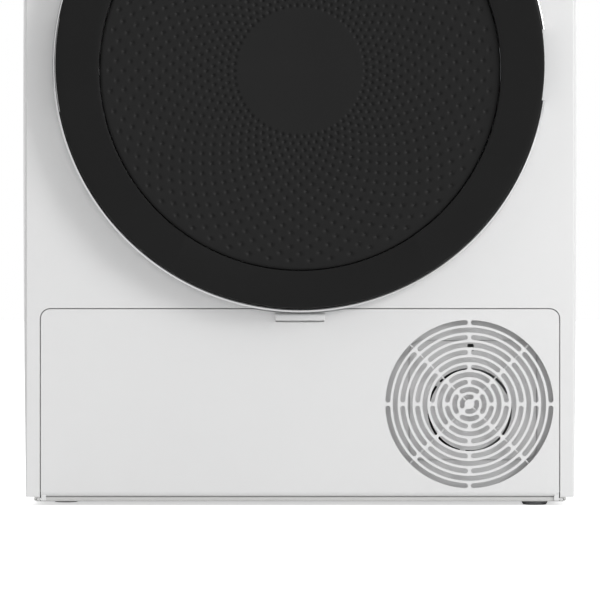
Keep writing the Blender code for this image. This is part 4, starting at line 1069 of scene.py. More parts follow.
tyre_finish = Finish("roller_rubber", (0.045, 0.045, 0.047), (0.08, 0.08, 0.083), (120.0, 4.0),
                     (300.0, 2.0, 0.14, 0.52), (1500.0, 2.0, 8e-05, 1.0))
for side in ("left", "right"):
    low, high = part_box("support_roller_" + side)
    x, z, outer = (low.x + high.x) / 2, (low.z + high.z) / 2, (high.x - low.x) / 2
    wheel = spun([(0.0054, low.y), (0.0100, low.y), (0.0110, low.y + 0.004), (0.0240, low.y + 0.004),
                  (0.0255, low.y), (outer - 0.0015, low.y), (outer, low.y + 0.0015), (outer, -0.1962),
                  (outer - 0.001, -0.1952),
                  (outer - 0.001, -0.1928), (outer, -0.1918), (outer, high.y - 0.0015),
                  (outer - 0.0015, high.y),
                  (0.0255, high.y), (0.0240, high.y - 0.004), (0.0110, high.y - 0.004), (0.0100, high.y),
                  (0.0054, high.y), (0.0054, low.y)], x, z, 64)
    settle(wheel, f"support_roller_wheel_{side}", tyre_finish, "roller_" + side, "rubber", "support_roller_"
           + side)
    low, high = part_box("roller_axle_" + side)
    pin = spun([(0.0, low.y), (0.0044, low.y), (0.0050, low.y + 0.0006), (0.0050, high.y - 0.0036),
                (0.0042, high.y - 0.0034),
                (0.0042, high.y - 0.0022), (0.0050, high.y - 0.0020), (0.0050, high.y - 0.0006),
                (0.0044, high.y), (0.0, high.y)], x, z, 32)
    settle(pin, f"roller_axle_pin_{side}", plated_finish, "cabinet", "steel", "roller_axle_" + side)


# ---------------------------------------------------------------- belt drive
# The motor stands on the tray. Its front end drives the drum by a flat ribbed belt, which a sprung
# lever keeps tight, and its back end turns the fan that blows the drying air.

MOTOR_X, _, MOTOR_Z = middle_of("motor_shaft_pulley")
BELT_LOW, BELT_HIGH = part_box("drive_belt")


def band(big, small, steps):
    """The outline of a band stretched over two circles, each an (x, z, radius)."""
    across, up = small[0] - big[0], small[1] - big[1]
    heading = math.degrees(math.atan2(up, across))
    lean = math.degrees(math.acos((big[2] - small[2]) / math.hypot(across, up)))
    return (arc(*big, heading + lean, heading + 360 - lean, steps)
            + arc(*small, heading - lean, heading + lean, steps // 4))


def drive_band(gap, front, back):
    return filled(band((DRUM_X, DRUM_Z, DRUM_R + gap), (MOTOR_X, MOTOR_Z, 0.015 + gap), 128), front, back)


belt = carve(drive_band(0.0025, BELT_LOW.y, BELT_HIGH.y), drive_band(0.0009, BELT_LOW.y - 0.01, BELT_HIGH.y
                                                                     + 0.01))
for groove_y in (BELT_LOW.y + 0.002, BELT_LOW.y + 0.004, BELT_LOW.y + 0.006):
    pick(belt, "FACE", lambda middle, normal: abs(normal.y) < 0.5)
    bpy.ops.mesh.bisect(plane_co=(0.0, groove_y, 0.0), plane_no=(0.0, 1.0, 0.0))
    done_editing()
belt_finish = Finish("belt_rubber", base_color=(0.035, 0.035, 0.036, 1.0), roughness=0.65)
across_belt = belt_finish.place.node("ShaderNodeTexWave", {"bands_direction": "Y"},
                                     {"Vector": belt_finish.place, "Scale": 170.0}, 1)
belt_finish.set(base_color=belt_finish.shade((0.026, 0.026, 0.027), (0.05, 0.05, 0.052), across_belt))
belt_finish.grain(across_belt, 0.0003)
settle(belt, "drum_drive_belt", belt_finish, "cabinet", "rubber", "drive_belt")

motor = spun([(0.0066, 0.109), (0.0200, 0.109), (0.0220, 0.1115), (0.0400, 0.1125), (0.0475, 0.1160),
              (0.0500, 0.1210),
              (0.0500, 0.1400), (0.0488, 0.1404), (0.0488, 0.1736), (0.0500, 0.1740), (0.0500, 0.1900),
              (0.0470, 0.1960),
              (0.0400, 0.1985), (0.0200, 0.2000), (0.0066, 0.2000), (0.0066, 0.109)], MOTOR_X, MOTOR_Z, 64)
vents = []
for i in range(12):
    turn = math.tau * i / 12
    start = (MOTOR_X + 0.034 * math.cos(turn), 0.100, MOTOR_Z + 0.034 * math.sin(turn))
    vents.append(bar(0.0045, start, (start[0], 0.118, start[2]), 12))
plate = round_edges(block((0.085, 0.106, 0.092), (0.233, 0.111, 0.208)), runs_deep, 0.012, 6)
leg = soften(block((0.140, 0.112, 0.0103), (0.210, 0.190, 0.110)), 0.003)
unite(motor, plate, leg)
carve(motor, joined(vents), rod(0.0066, MOTOR_X, MOTOR_Z, 0.09, 0.22, 32),
      rod(0.0044, 0.100, 0.150, 0.09, 0.12, 24))
settle(motor, "drive_motor_case", zinc_finish, "cabinet", "zinc", "motor")

ridge = [(0.0150 if i % 2 else 0.0156, 0.0986 - 0.0011 * i) for i in range(9)]
pulley = spun([(0.0, 0.2550), (0.0052, 0.2550), (0.0060, 0.2542), (0.0060, 0.1022), (0.0180, 0.1010),
               (0.0180, 0.0992)]
              + ridge + [(0.0180, 0.0890), (0.0180, 0.0874), (0.0174, 0.0870), (0.0, 0.0870)], MOTOR_X,
              MOTOR_Z, 48)
settle(pulley, "motor_shaft_and_pulley", steel_finish, "motor_rotor", "steel", "motor_shaft_pulley")

impeller = spun([(0.0064, 0.2160), (0.0150, 0.2160), (0.0170, 0.2176), (0.0300, 0.2260), (0.0580, 0.2440),
                 (0.0580, 0.2470),
                 (0.0064, 0.2470), (0.0064, 0.2160)], MOTOR_X, MOTOR_Z, 64)
vanes = []
for i in range(20):
    turn = math.tau * i / 20
    points = []
    for radius, lead in ((0.024, 0.0), (0.036, 0.10), (0.048, 0.28), (0.0575, 0.52)):
        points.append((radius, turn + lead))
    outer = [(MOTOR_X + r * math.cos(t), MOTOR_Z + r * math.sin(t)) for r, t in points]
    inner = [(MOTOR_X + r * math.cos(t + 0.0012 / r), MOTOR_Z + r * math.sin(t + 0.0012 / r)) for r,
             t in points[::-1]]
    vanes.append(filled(outer + inner, 0.2168, 0.2455))
settle(joined([impeller] + vanes), "process_fan_wheel", dark_finish, "motor_rotor", "dark_plastic",
       "process_fan")

rear_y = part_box("fan_housing")[1].y
housing = spun([(0.0300, 0.2080), (0.0300, 0.2105), (0.0316, 0.2110), (0.0620, 0.2110), (0.0630, 0.2120),
                (0.0630, rear_y),
                (0.0660, rear_y), (0.0660, 0.2105), (0.0635, 0.2080), (0.0300, 0.2080)], MOTOR_X, MOTOR_Z, 96)
settle(housing, "fan_scroll_housing", pale_finish, "cabinet", "grey_plastic", "fan_housing")

idler_x, _, idler_z = middle_of("idler_pulley")
idler = spun([(0.0035, 0.0880), (0.0070, 0.0880), (0.0076, 0.0890), (0.0100, 0.0890), (0.0106, 0.0880),
              (0.0120, 0.0884),
              (0.0120, 0.0896), (0.0117, 0.0900), (0.0117, 0.0980), (0.0120, 0.0984), (0.0120, 0.0990),
              (0.0106, 0.0990), (0.0100, 0.0982),
              (0.0076, 0.0982), (0.0070, 0.0990), (0.0035, 0.0990), (0.0035, 0.0880)], idler_x, idler_z, 48)
settle(idler, "belt_idler_wheel", dark_finish, "idler_wheel", "dark_plastic", "idler_pulley")
PIVOT_X, PIVOT_Z = 0.100, 0.150
heading = math.degrees(math.atan2(idler_z - PIVOT_Z, idler_x - PIVOT_X))
lever = filled(arc(idler_x, idler_z, 0.008, heading - 90, heading + 90, 12)
               + arc(PIVOT_X, PIVOT_Z, 0.009, heading + 90, heading + 270, 12), 0.1005, 0.1040)
soften(lever, 0.0005, 2, 50.0)
unite(lever, rod(0.004, PIVOT_X, PIVOT_Z, 0.1030, 0.1090, 32),
      rod(0.003, idler_x, idler_z, 0.0860, 0.1010, 32))
settle(lever, "belt_idler_lever", zinc_finish, "idler_lever", "zinc", "idler_arm")


# ---------------------------------------------------------------- heat pump
# Two stacks of thin aluminium fins on copper hairpins, one cold and one hot, and the black compressor
# that pumps the refrigerant between them. A small pump lifts the water to the tank.

fin_finish = Finish("fin_aluminium", (0.62, 0.63, 0.64), (0.76, 0.77, 0.78), (80.0, 3.0),
                    (300.0, 3.0, 0.2, 0.26), metallic=1.0)
copper_finish = Finish("copper_pipe", (0.60, 0.28, 0.17), (0.80, 0.42, 0.27), (60.0, 4.0),
                       (180.0, 3.0, 0.2, 0.24), metallic=1.0)
dress(copper_finish, "refrigerant_pipe")

for node in ("evaporator", "condenser"):
    low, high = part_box(node)
    pitch = 0.0032
    count = int((high.x - low.x - 0.004) / pitch)
    fin = block((low.x + 0.003, low.y + 0.001, low.z + 0.006),
                (low.x + 0.0034, high.y - 0.001, high.z - 0.006))
    apply_step(fin, "ARRAY", count=count, use_relative_offset=False, use_constant_offset=True,
               constant_offset_displace=(pitch, 0.0, 0.0))
    cheeks = [soften(block((x, low.y, low.z), (x + 0.0015, high.y, high.z)), 0.0005)
              for x in (low.x, high.x - 0.0015)]
    settle(joined([fin] + cheeks), f"{node}_fin_stack", fin_finish, "cabinet", "aluminium", node)
    bends = []
    levels = [low.z + 0.030 + 0.040 * i for i in range(4)]
    for level in levels:
        for y in (low.y + 0.018, low.y + 0.042):
            bpy.ops.object.select_all(action="DESELECT")
            bpy.ops.mesh.primitive_circle_add(vertices=12, radius=0.0035, location=(low.x + 0.0006, y, level),
                                              rotation=(0.0, math.pi / 2, 0.0))
            bpy.ops.object.transform_apply(location=True, rotation=True, scale=True)
            bpy.ops.object.mode_set(mode="EDIT")
            bpy.ops.mesh.select_all(action="SELECT")
            bpy.ops.mesh.spin(steps=10, angle=math.pi, center=(low.x + 0.0006, y, level + 0.010),
                              axis=(0.0, 1.0, 0.0))
            bpy.ops.mesh.select_all(action="SELECT")
            bpy.ops.mesh.normals_make_consistent(inside=False)
            done_editing()
            bends.append(bpy.context.object)
    settle(joined(bends), f"{node}_hairpins", copper_finish, "cabinet", "copper")

paint_finish = Finish("compressor_paint", (0.016, 0.016, 0.018), (0.032, 0.032, 0.034), (50.0, 4.0),
                      (160.0, 3.0, 0.16, 0.3), (700.0, 3.0, 0.0001, 1.0))
PUMP_LOW, PUMP_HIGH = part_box("compressor")
pump_x, pump_y, _ = middle_of("compressor")
pump_r = (PUMP_HIGH.x - PUMP_LOW.x) / 2
can = spun([(0.0, PUMP_LOW.z), (0.048, PUMP_LOW.z), (0.048, 0.0150), (pump_r - 0.006, 0.0160),
            (pump_r - 0.002, 0.0220),
            (pump_r - 0.001, 0.0300), (pump_r - 0.001, 0.1090), (pump_r, 0.1096), (pump_r, 0.1140),
            (pump_r - 0.001, 0.1146),
            (pump_r - 0.001, 0.1500), (pump_r - 0.004, 0.1640), (pump_r - 0.012, 0.1760), (0.034, 0.1840),
            (0.020, 0.1880),
            (0.0, PUMP_HIGH.z)], pump_x, pump_y, 96, along="Z")
settle(can, "compressor_can", paint_finish, "cabinet", "black_paint", "compressor")
drier = spun([(0.0, 0.0400), (0.008, 0.0410), (0.0155, 0.0470), (0.0165, 0.0530), (0.0165, 0.1400),
              (0.0155, 0.1460),
              (0.008, 0.1540), (0.004, 0.1560), (0.004, 0.1700), (0.0, 0.1700)], 0.0610, -0.0480, 48,
             along="Z")
unite(drier, bar(0.003, (0.0610, -0.0480, 0.050), (0.0900, -0.0560, 0.050), 16))
settle(drier, "suction_accumulator", paint_finish, "cabinet", "black_paint")

low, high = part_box("condensate_pump")
pump = soften(block(low, (high.x, high.y, 0.070)), 0.003)
middle_x, middle_y, _ = middle_of("condensate_pump")
unite(pump, spun([(0.0, 0.0690), (0.021, 0.0690), (0.021, 0.0790), (0.018, 0.0820), (0.006, 0.0825),
                  (0.006, 0.0840),
                  (0.0066, 0.0850), (0.006, 0.0862), (0.006, 0.0940), (0.005, high.z), (0.0, high.z)],
                 middle_x, middle_y, 48, along="Z"))
settle(pump, "condensate_pump_case", dark_finish, "cabinet", "dark_plastic", "condensate_pump")

rotor = rod(0.014, FAN_X, FAN_Z, -0.252, -0.232, 48)
soften(rotor, 0.002)
blades = []
for i in range(5):
    turn = math.tau * i / 5
    for_r = ((0.010, -0.25, -0.0015), (0.020, -0.20, -0.0020), (0.032, -0.15, -0.0022),
             (0.0415, -0.10, -0.0024))
    outer = [(r, turn + lag) for r, lag, _ in for_r]
    inner = [(r, turn + lag + 0.62) for r, lag, _ in for_r[::-1]]
    blade = filled([(FAN_X + r * math.cos(t), FAN_Z + r * math.sin(t)) for r, t in outer + inner], -0.2440,
                   -0.2424)
    pick(blade, "POINT", lambda place, _: math.atan2(place.z - FAN_Z, place.x - FAN_X) % math.tau
         > (turn + 0.10) % math.tau and math.hypot(place.x - FAN_X, place.z - FAN_Z) > 0.018)
    bpy.ops.transform.translate(value=(0.0, 0.005, 0.0))
    done_editing()
    blades.append(blade)
settle(joined([rotor] + blades), "cooling_fan_rotor", dark_finish, "fan_rotor", "dark_plastic", "cooling_fan")


# ---------------------------------------------------------------- water tank
# A drawer tank of clouded plastic slides out at the upper left. Its white front is the handle, and it
# runs in a fixed trough behind the front panel.

TANK_LOW, TANK_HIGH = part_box("water_tank")
tank_finish = Finish("tank_clouded", gloss=(80.0, 2.0, 0.16, 0.32), relief=(900.0, 2.0, 8e-05, 1.0),
                     base_color=(0.80, 0.83, 0.85, 1.0), transmission_weight=0.6, ior=1.49)
tank = block(TANK_LOW, TANK_HIGH)
round_edges(tank, lambda middle, way: abs(way.y) > 0.9 or abs(way.z) > 0.9, 0.008, 5)
inside = block((TANK_LOW.x + 0.0025, TANK_LOW.y + 0.0025, TANK_LOW.z + 0.0025),
               (TANK_HIGH.x - 0.0025, TANK_HIGH.y - 0.0025, TANK_HIGH.z - 0.0025))
round_edges(inside, lambda middle, way: abs(way.y) > 0.9 or abs(way.z) > 0.9, 0.006, 5)
mouth_cut = round_edges(block((-0.240, 0.100, 0.790), (-0.170, 0.160, 0.830)), runs_up,
                        0.010, 6)
carve(tank, inside, mouth_cut)
carve(tank, joined([bar(0.0012, (TANK_LOW.x + 0.0002, y, 0.760), (TANK_LOW.x + 0.0002, y, 0.801), 16)
                    for y in (-0.21, -0.14, -0.07, 0.0, 0.07, 0.14)]))
settle(tank, "water_tank_vessel", tank_finish, "tank", "grey_plastic", "water_tank")

trough_low, trough_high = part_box("tank_housing")
trough = soften(block(trough_low, trough_high), 0.003)
carve(trough, block((-0.2885, -0.280, 0.749), (-0.117, 0.1865, 0.830)))
for y in (-0.15, -0.03, 0.09):
    for x in (trough_low.x - 0.001, trough_high.x - 0.0008):
        carve(trough, bar(0.0016, (x + 0.0009, y, 0.755), (x + 0.0009, y, 0.805), 12))
settle(trough, "tank_trough", pale_finish, "cabinet", "grey_plastic", "tank_housing")

GRIP_LOW, GRIP_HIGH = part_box("tank_handle")
SEAM_X = -0.1105
handle = block((-0.2933, GRIP_LOW.y, 0.746), (SEAM_X, GRIP_HIGH.y, GRIP_HIGH.z))
round_edges(handle, lambda middle, way: middle.y < GRIP_LOW.y + 0.001, 0.0009, 4)
unite(handle, block((GRIP_LOW.x, GRIP_LOW.y + 0.0002, 0.7464),
                    (-0.2925, GRIP_LOW.y + 0.0015, GRIP_HIGH.z - 0.0004)))
hollow = round_edges(block((-0.246, GRIP_LOW.y - 0.01, 0.766), (-0.160, -0.276, 0.792)),
                     runs_deep, 0.008, 8)
carve(handle, hollow, round_edges(block((-0.246, -0.281, 0.780), (-0.160, -0.276, 0.802)),
                                  runs_deep, 0.006, 6))
round_edges(handle, lambda middle, way: abs(middle.y - GRIP_LOW.y) < 0.0002 and -0.2465 < middle.x < -0.1595
            and 0.7655 < middle.z < 0.7925, 0.0008, 4)
settle(handle, "water_tank_handle", moulding_finish, "tank", "white_plastic", "tank_handle", flat=True)


# ---------------------------------------------------------------- control panel
# A glossy white fascia with a turning program knob, a dark display behind a window, a power key and a
# start key, and the board that reads them. All marks are generic.

FASCIA_LOW, FASCIA_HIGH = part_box("control_fascia")
BOX_RIGHT = 0.2933
fascia = block(FASCIA_LOW, (BOX_RIGHT, FASCIA_HIGH.y, FASCIA_HIGH.z))
round_edges(fascia, lambda middle, way: middle.y < FASCIA_LOW.y + 0.001, 0.0009, 4)
unite(fascia, block((0.2925, FASCIA_LOW.y + 0.0002, FASCIA_LOW.z + 0.0004),
                    (FASCIA_HIGH.x, FASCIA_LOW.y + 0.0015, FASCIA_HIGH.z - 0.0004)))
carve(fascia, block((FASCIA_LOW.x + 0.0025, FASCIA_LOW.y + 0.0025, FASCIA_LOW.z + 0.0025),
                    (BOX_RIGHT - 0.0025, FASCIA_HIGH.y + 0.01, FASCIA_HIGH.z - 0.0025)),
      round_edges(block((0.0595, -0.30, 0.7635), (0.1805, -0.26, 0.7975)), runs_deep, 0.0012, 4),
      rod(0.005, 0.0, 0.780, -0.30, -0.26, 32), rod(0.0095, 0.210, 0.780, -0.30, -0.26, 64),
      rod(0.0115, 0.255, 0.780, -0.30, -0.26, 64))
settle(fascia, "control_fascia_moulding", moulding_finish, "cabinet", "white_plastic", "control_fascia",
       flat=True)

ink_finish = Finish("printed_ink", (0.13, 0.135, 0.14), (0.20, 0.205, 0.21), (400.0, 2.0), roughness=0.55)


def printed(words, x, z, size, face, depth=0.00012):
    """Raised printing: small lettering turned into a mesh and stood on a front face."""
    bpy.ops.object.select_all(action="DESELECT")
    bpy.ops.object.text_add(location=(x, face, z), rotation=(math.pi / 2, 0.0, 0.0))
    text = bpy.context.object
    text.data.body = words
    text.data.size = size
    text.data.extrude = depth / 2
    text.data.resolution_u = 3
    text.data.align_x = "CENTER"
    text.data.align_y = "CENTER"
    bpy.ops.object.convert(target="MESH")
    bpy.ops.object.transform_apply(location=True, rotation=True, scale=True)
    return bpy.context.object


marks = []
for i in range(16):
    turn = math.tau * i / 16
    length = 0.0040 if i % 4 == 0 else 0.0024
    near = (0.0275 * math.sin(turn), 0.780 + 0.0275 * math.cos(turn))
    far = ((0.0275 + length) * math.sin(turn), 0.780 + (0.0275 + length) * math.cos(turn))
    side = (0.0003 * math.cos(turn), -0.0003 * math.sin(turn))
    marks.append(filled([(near[0] - side[0], near[1] - side[1]), (near[0] + side[0], near[1] + side[1]),
                         (far[0] + side[0], far[1] + side[1]), (far[0] - side[0], far[1] - side[1])],
                        FASCIA_LOW.y - 0.00012, FASCIA_LOW.y + 0.0001))
for words, x in (("ON", 0.210), ("START", 0.255)):
    marks.append(printed(words, x, 0.7625, 0.0050, FASCIA_LOW.y))
settle(joined(marks), "fascia_markings", ink_finish, "cabinet", "dark_plastic")

window_low, window_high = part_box("display_window")
glass_finish = Finish("display_glass", gloss=(20.0, 2.0, 0.04, 0.04), base_color=(0.012, 0.013, 0.015, 1.0),
                      coat_weight=0.6)
window = soften(block(window_low, window_high), 0.0006, 3, 50.0)
settle(window, "display_window_glass", glass_finish, "cabinet", "smoked_glass", "display_window")

glow_finish = Finish("display_digits", base_color=(0.65, 0.80, 0.85, 1.0), roughness=0.4,
                     emission_strength=1.4)
glow_finish.set(emission_color=glow_finish.shade((0.50, 0.72, 0.80), (0.62, 0.82, 0.88),
                                                 glow_finish.noise(200.0)))


def segment(x, z, across, up):
    """One bar of a seven-bar digit, with pointed ends."""
    half, thin = 0.0036, 0.0008
    points = [(-half, 0.0), (-half + thin, thin), (half - thin, thin), (half, 0.0), (half - thin, -thin),
              (-half + thin, -thin)]
    turned = [(x + a * across + b * up, z + a * up + b * across) for a, b in points]
    if up:
        turned = turned[::-1]
    return filled(turned, window_low.y - 0.00010, window_low.y + 0.0001)


bars = []
for x, shown in ((0.1030, "abged"), (0.1215, "abgcd"), (0.1370, "abcdef")):
    for mark in shown:
        bars.append({"a": lambda: segment(x, 0.7887, 1, 0), "g": lambda: segment(x, 0.7807, 1, 0),
                     "d": lambda: segment(x, 0.7727, 1, 0), "f": lambda: segment(x - 0.0042, 0.7847, 0, 1),
                     "b": lambda: segment(x + 0.0042, 0.7847, 0, 1),
                     "e": lambda: segment(x - 0.0042, 0.7767, 0, 1),
                     "c": lambda: segment(x + 0.0042, 0.7767, 0, 1)}[mark]())
dots = [(0.0720 + 0.0050 * i, 0.7700) for i in range(5)] + [(0.11225, 0.7770), (0.11225, 0.7845)]
for x, z in dots:
    bars.append(filled(arc(x, z, 0.0009, 0, 337.5, 15), window_low.y - 0.0001, window_low.y + 0.0001))
settle(joined(bars), "display_digits_lit", glow_finish, "cabinet", "clear_lens")

knob_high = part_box("program_knob")[1]
KNOB_Z = middle_of("program_knob").z
knob = spun([(0.0, knob_high.y), (0.0036, knob_high.y), (0.0040, knob_high.y - 0.0004), (0.0040, -0.2845),
             (0.0234, -0.2845), (0.0240, -0.2851), (0.0238, -0.2900), (0.0232, -0.3006), (0.0226, -0.3018),
             (0.0215, -0.3024), (0.0195, -0.3025), (0.0188, -0.3022), (0.0, -0.3022)], 0.0, KNOB_Z, 128)
flutes = []
for i in range(40):
    turn = math.tau * (i + 0.5) / 40
    place = (0.0247 * math.cos(turn), KNOB_Z + 0.0247 * math.sin(turn))
    flutes.append(rod(0.0012, place[0], place[1], -0.3005, -0.2865, 12))
carve(knob, joined(flutes))
carve(knob, soften(block((-0.0009, -0.3035, KNOB_Z + 0.0080), (0.0009, -0.3018, KNOB_Z + 0.0180)), 0.0003))
settle(knob, "program_knob_turned", bright_finish, "knob", "chrome", "program_knob")
pointer = soften(block((-0.0007, -0.3022, KNOB_Z + 0.0084), (0.0007, -0.3018, KNOB_Z + 0.0176)), 0.0002)
settle(pointer, "program_knob_pointer", ink_finish, "knob", "dark_plastic")

for node, body, radius in (("power_button", "power_key", 0.009), ("start_button", "start_key", 0.011)):
    low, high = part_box(node)
    x, _, z = middle_of(node)
    key = spun([(0.0, high.y), (0.0017, high.y), (0.0020, high.y - 0.0003), (0.0020, -0.2780),
                (radius, -0.2780),
                (radius, -0.2853), (radius - 0.0003, -0.2860), (radius - 0.0012, -0.2865),
                (radius - 0.0022, -0.2864),
                (radius - 0.0040, -0.2861), (0.0, -0.2860)], x, z, 64)
    settle(key, node + "_cap", moulding_finish, body, "white_plastic", node)
    face = -0.2860
    if node == "power_button":
        outer = arc(x, z - 0.0002, 0.0032, 120, 420, 30)
        inner = arc(x, z - 0.0002, 0.0026, 420, 120, 30)
        sign = [filled(outer + inner, face - 0.0001, face + 0.0001),
                block((x - 0.0003, face - 0.0001, z + 0.0006), (x + 0.0003, face + 0.0001, z + 0.0038))]
    else:
        sign = [filled([(x - 0.0018, z - 0.0028), (x + 0.0030, z), (x - 0.0018, z + 0.0028)], face - 0.0001,
                       face + 0.0001),
                block((x + 0.0036, face - 0.0001, z - 0.0028), (x + 0.0043, face + 0.0001, z + 0.0028))]
    settle(joined(sign), node + "_sign", ink_finish, body, "dark_plastic")

board_finish = Finish("board_green", base_color=(0.03, 0.16, 0.07, 1.0), roughness=0.4)
tracks = board_finish.noise(160.0, 0.0, board_finish.stretched(1.0, 1.0, 6.0)) > 0.5
board_finish.set(base_color=board_finish.shade((0.022, 0.13, 0.055), (0.05, 0.24, 0.11), tracks))
board_low, board_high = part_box("control_board")
board = soften(block(board_low, board_high), 0.0003)
mounts = [rod(0.0016, x, z, -0.27, -0.25, 16) for x in (board_low.x + 0.005, board_high.x - 0.005)
          for z in (board_low.z + 0.005, board_high.z - 0.005)]
carve(board, joined(mounts))
settle(board, "control_board_sheet", board_finish, "cabinet", "board_green", "control_board")
chips = []
for x, z, wide, tall, deep in ((0.080, 0.782, 0.016, 0.016, 0.0014), (0.130, 0.776, 0.010, 0.008, 0.0012),
                               (0.165, 0.790, 0.012, 0.006, 0.0012), (0.235, 0.770, 0.018, 0.014, 0.012),
                               (0.262, 0.770, 0.018, 0.014, 0.012), (0.050, 0.768, 0.012, 0.006, 0.008),
                               (0.200, 0.792, 0.022, 0.006, 0.006)):
    chips.append(soften(block((x - wide / 2, board_high.y, z - tall / 2),
                              (x + wide / 2, board_high.y + deep, z + tall / 2)),
                        0.0003))
for x, z in ((0.105, 0.768), (0.112, 0.768), (0.150, 0.768), (0.180, 0.775), (0.215, 0.790)):
    chips.append(soften(rod(0.0028, x, z, board_high.y, board_high.y + 0.007, 24), 0.0004))
settle(joined(chips), "control_board_components", dark_finish, "cabinet", "dark_plastic")


# ---------------------------------------------------------------- top panel
# A white worktop with rounded edges, hollow underneath, that hangs over the cabinet.

LID_LOW, LID_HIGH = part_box("top_panel")
lid = block(LID_LOW, LID_HIGH)
round_edges(lid, runs_up, 0.006, 6)
round_edges(lid, lambda middle, way: middle.z > LID_HIGH.z - 0.0005, 0.0035, 6)
round_edges(lid, lambda middle, way: middle.z < LID_LOW.z + 0.0005, 0.0010, 3)
carve(lid, block((LID_LOW.x + 0.003, LID_LOW.y + 0.003, LID_LOW.z - 0.01),
                 (LID_HIGH.x - 0.003, LID_HIGH.y - 0.003, 0.827)))
settle(lid, "top_panel_sheet", enamel_finish, "cabinet", "white_paint", "top_panel", flat=True)


# ---------------------------------------------------------------- back
# The zinc-grey rear wall with pressed beads and vents, and on it the air duct's cover, the socket for
# a mains lead and the drain spigot.

BACK_LOW, BACK_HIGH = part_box("rear_panel")
rear = block(BACK_LOW, BACK_HIGH)
round_edges(rear, runs_deep, 0.003, 3)
cuts = [rod(0.045, MOTOR_X, MOTOR_Z, 0.27, 0.30, 96)]
for middle in (30, 150, 270):
    cuts.append(filled(arc(DRUM_X, DRUM_Z, 0.225, middle - 48, middle + 48, 40)
                       + arc(DRUM_X, DRUM_Z, 0.095, middle + 48, middle - 48, 24), 0.27, 0.30))
louvres = []
for row in range(7):
    for column in range(2):
        left = -0.262 + 0.060 * column
        louvres.append(filled(arc(left, 0.760 - 0.010 * row, 0.0018, 90, 270, 8)
                              + arc(left + 0.046, 0.760 - 0.010 * row, 0.0018, 270, 450, 8), 0.27, 0.30))
for row in range(5):
    louvres.append(filled(arc(-0.120, 0.060 + 0.012 * row, 0.0022, 90, 270, 8)
                          + arc(-0.040, 0.060 + 0.012 * row, 0.0022, 270, 450, 8), 0.27, 0.30))
carve(rear, *cuts)
carve(rear, joined(louvres))
settle(rear, "rear_panel_sheet", zinc_finish, "cabinet", "zinc", "rear_panel")
rims = []
for left, right, level in ((-0.280, 0.280, 0.790), (-0.280, -0.255, 0.30), (0.255, 0.280, 0.30),
                           (-0.280, 0.060, 0.028)):
    rims.append(soften(block((left, BACK_HIGH.y - 0.0002, level - 0.004),
                             (right, BACK_HIGH.y + 0.0014, level + 0.004)),
                       0.0012, 3))
settle(joined(rims), "rear_panel_beads", zinc_finish, "cabinet", "zinc")
first = (-0.285, 0.030)
others = [(-0.285, 0.20), (-0.285, 0.42), (-0.285, 0.62), (-0.285, 0.800), (0.285, 0.030), (0.285, 0.20),
          (0.285, 0.42),
          (0.285, 0.62), (0.285, 0.800), (-0.10, 0.806), (0.10, 0.806)]
rear_screws = copies(screw_head((first[0], BACK_HIGH.y, first[1]), 1),
                     [(x - first[0], 0.0, z - first[1]) for x, z in others])
settle(rear_screws, "rear_panel_screws", plated_finish, "cabinet", "zinc")

DUCT_LOW, DUCT_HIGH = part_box("rear_duct_cover")


def duct_shape(inset, front, back):
    return filled(band((DRUM_X, DRUM_Z, 0.240 - inset), (MOTOR_X, MOTOR_Z, 0.072 - inset), 96), front, back)


duct = duct_shape(0.0, DUCT_LOW.y, DUCT_HIGH.y)
round_edges(duct, lambda middle, way: middle.y > DUCT_HIGH.y - 0.0005, 0.0050, 5)
carve(duct, duct_shape(0.003, DUCT_LOW.y - 0.01, DUCT_HIGH.y - 0.003))
for radius in (0.085, 0.135, 0.185):
    sunk = filled(arc(DRUM_X, DRUM_Z, radius + 0.0035, 0, 357, 119), DUCT_HIGH.y - 0.0010, DUCT_HIGH.y + 0.01)
    carve(sunk, filled(arc(DRUM_X, DRUM_Z, radius - 0.0035, 0, 357, 119), DUCT_HIGH.y - 0.0020, DUCT_HIGH.y
                       + 0.02))
    carve(duct, sunk)
fixings, pits = [], []
corners = [(DRUM_X + 0.2285 * math.cos(math.radians(degrees)), DRUM_Z
            + 0.2285 * math.sin(math.radians(degrees)))
           for degrees in (20, 65, 110, 155, 200, 245)] + [(MOTOR_X + 0.055, MOTOR_Z - 0.022)]
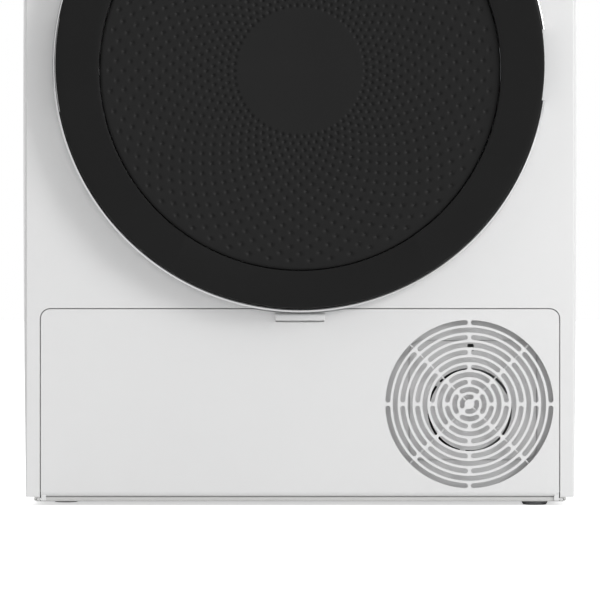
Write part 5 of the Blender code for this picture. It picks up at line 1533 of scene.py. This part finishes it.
for x, z in corners:
    pits.append(rod(0.0048, x, z, DUCT_HIGH.y - 0.0019, DUCT_HIGH.y + 0.01, 24))
    fixings.append(screw_head((x, DUCT_HIGH.y - 0.0019, z), 1))
carve(duct, joined(pits))
settle(duct, "rear_duct_cover_shell", zinc_finish, "cabinet", "zinc", "rear_duct_cover")
settle(joined(fixings), "rear_duct_screws", plated_finish, "cabinet", "zinc")

INLET_LOW, INLET_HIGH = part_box("power_inlet")
inlet = soften(block(INLET_LOW, INLET_HIGH), 0.002)
well = round_edges(block((INLET_LOW.x + 0.007, INLET_HIGH.y - 0.016, INLET_LOW.z + 0.009),
                         (INLET_HIGH.x - 0.007, INLET_HIGH.y + 0.01, INLET_HIGH.z - 0.009)),
                   runs_deep, 0.004, 5)
carve(inlet, well)
settle(inlet, "power_inlet_socket", dark_finish, "cabinet", "dark_plastic", "power_inlet")
pins = []
centre_x, _, centre_z = middle_of("power_inlet")
for across, up in ((-0.007, -0.003), (0.0, 0.004), (0.007, -0.003)):
    pins.append(soften(block((centre_x + across - 0.001, INLET_HIGH.y - 0.0165, centre_z + up - 0.002),
                             (centre_x + across + 0.001, INLET_HIGH.y - 0.003, centre_z + up + 0.002)),
                       0.0004))
settle(joined(pins), "power_inlet_pins", plated_finish, "cabinet", "zinc")

SPIGOT_LOW, SPIGOT_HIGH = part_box("drain_spigot")
spigot_x, _, spigot_z = middle_of("drain_spigot")
spigot = spun([(0.0, SPIGOT_LOW.y), (0.0134, SPIGOT_LOW.y), (0.0140, SPIGOT_LOW.y + 0.0006), (0.0140, 0.2905),
               (0.0134, 0.2911),
               (0.0070, 0.2911), (0.0066, 0.2916), (0.0066, 0.2960), (0.0080, 0.2966), (0.0066, 0.3000),
               (0.0080, 0.3006),
               (0.0066, 0.3040), (0.0080, 0.3046), (0.0066, 0.3080), (0.0080, 0.3086), (0.0068, 0.3122),
               (0.0060, SPIGOT_HIGH.y),
               (0.0046, SPIGOT_HIGH.y), (0.0044, 0.3126), (0.0044, 0.2950), (0.0, 0.2950)], spigot_x,
              spigot_z, 48)
settle(spigot, "drain_spigot_barb", dark_finish, "cabinet", "dark_plastic", "drain_spigot")
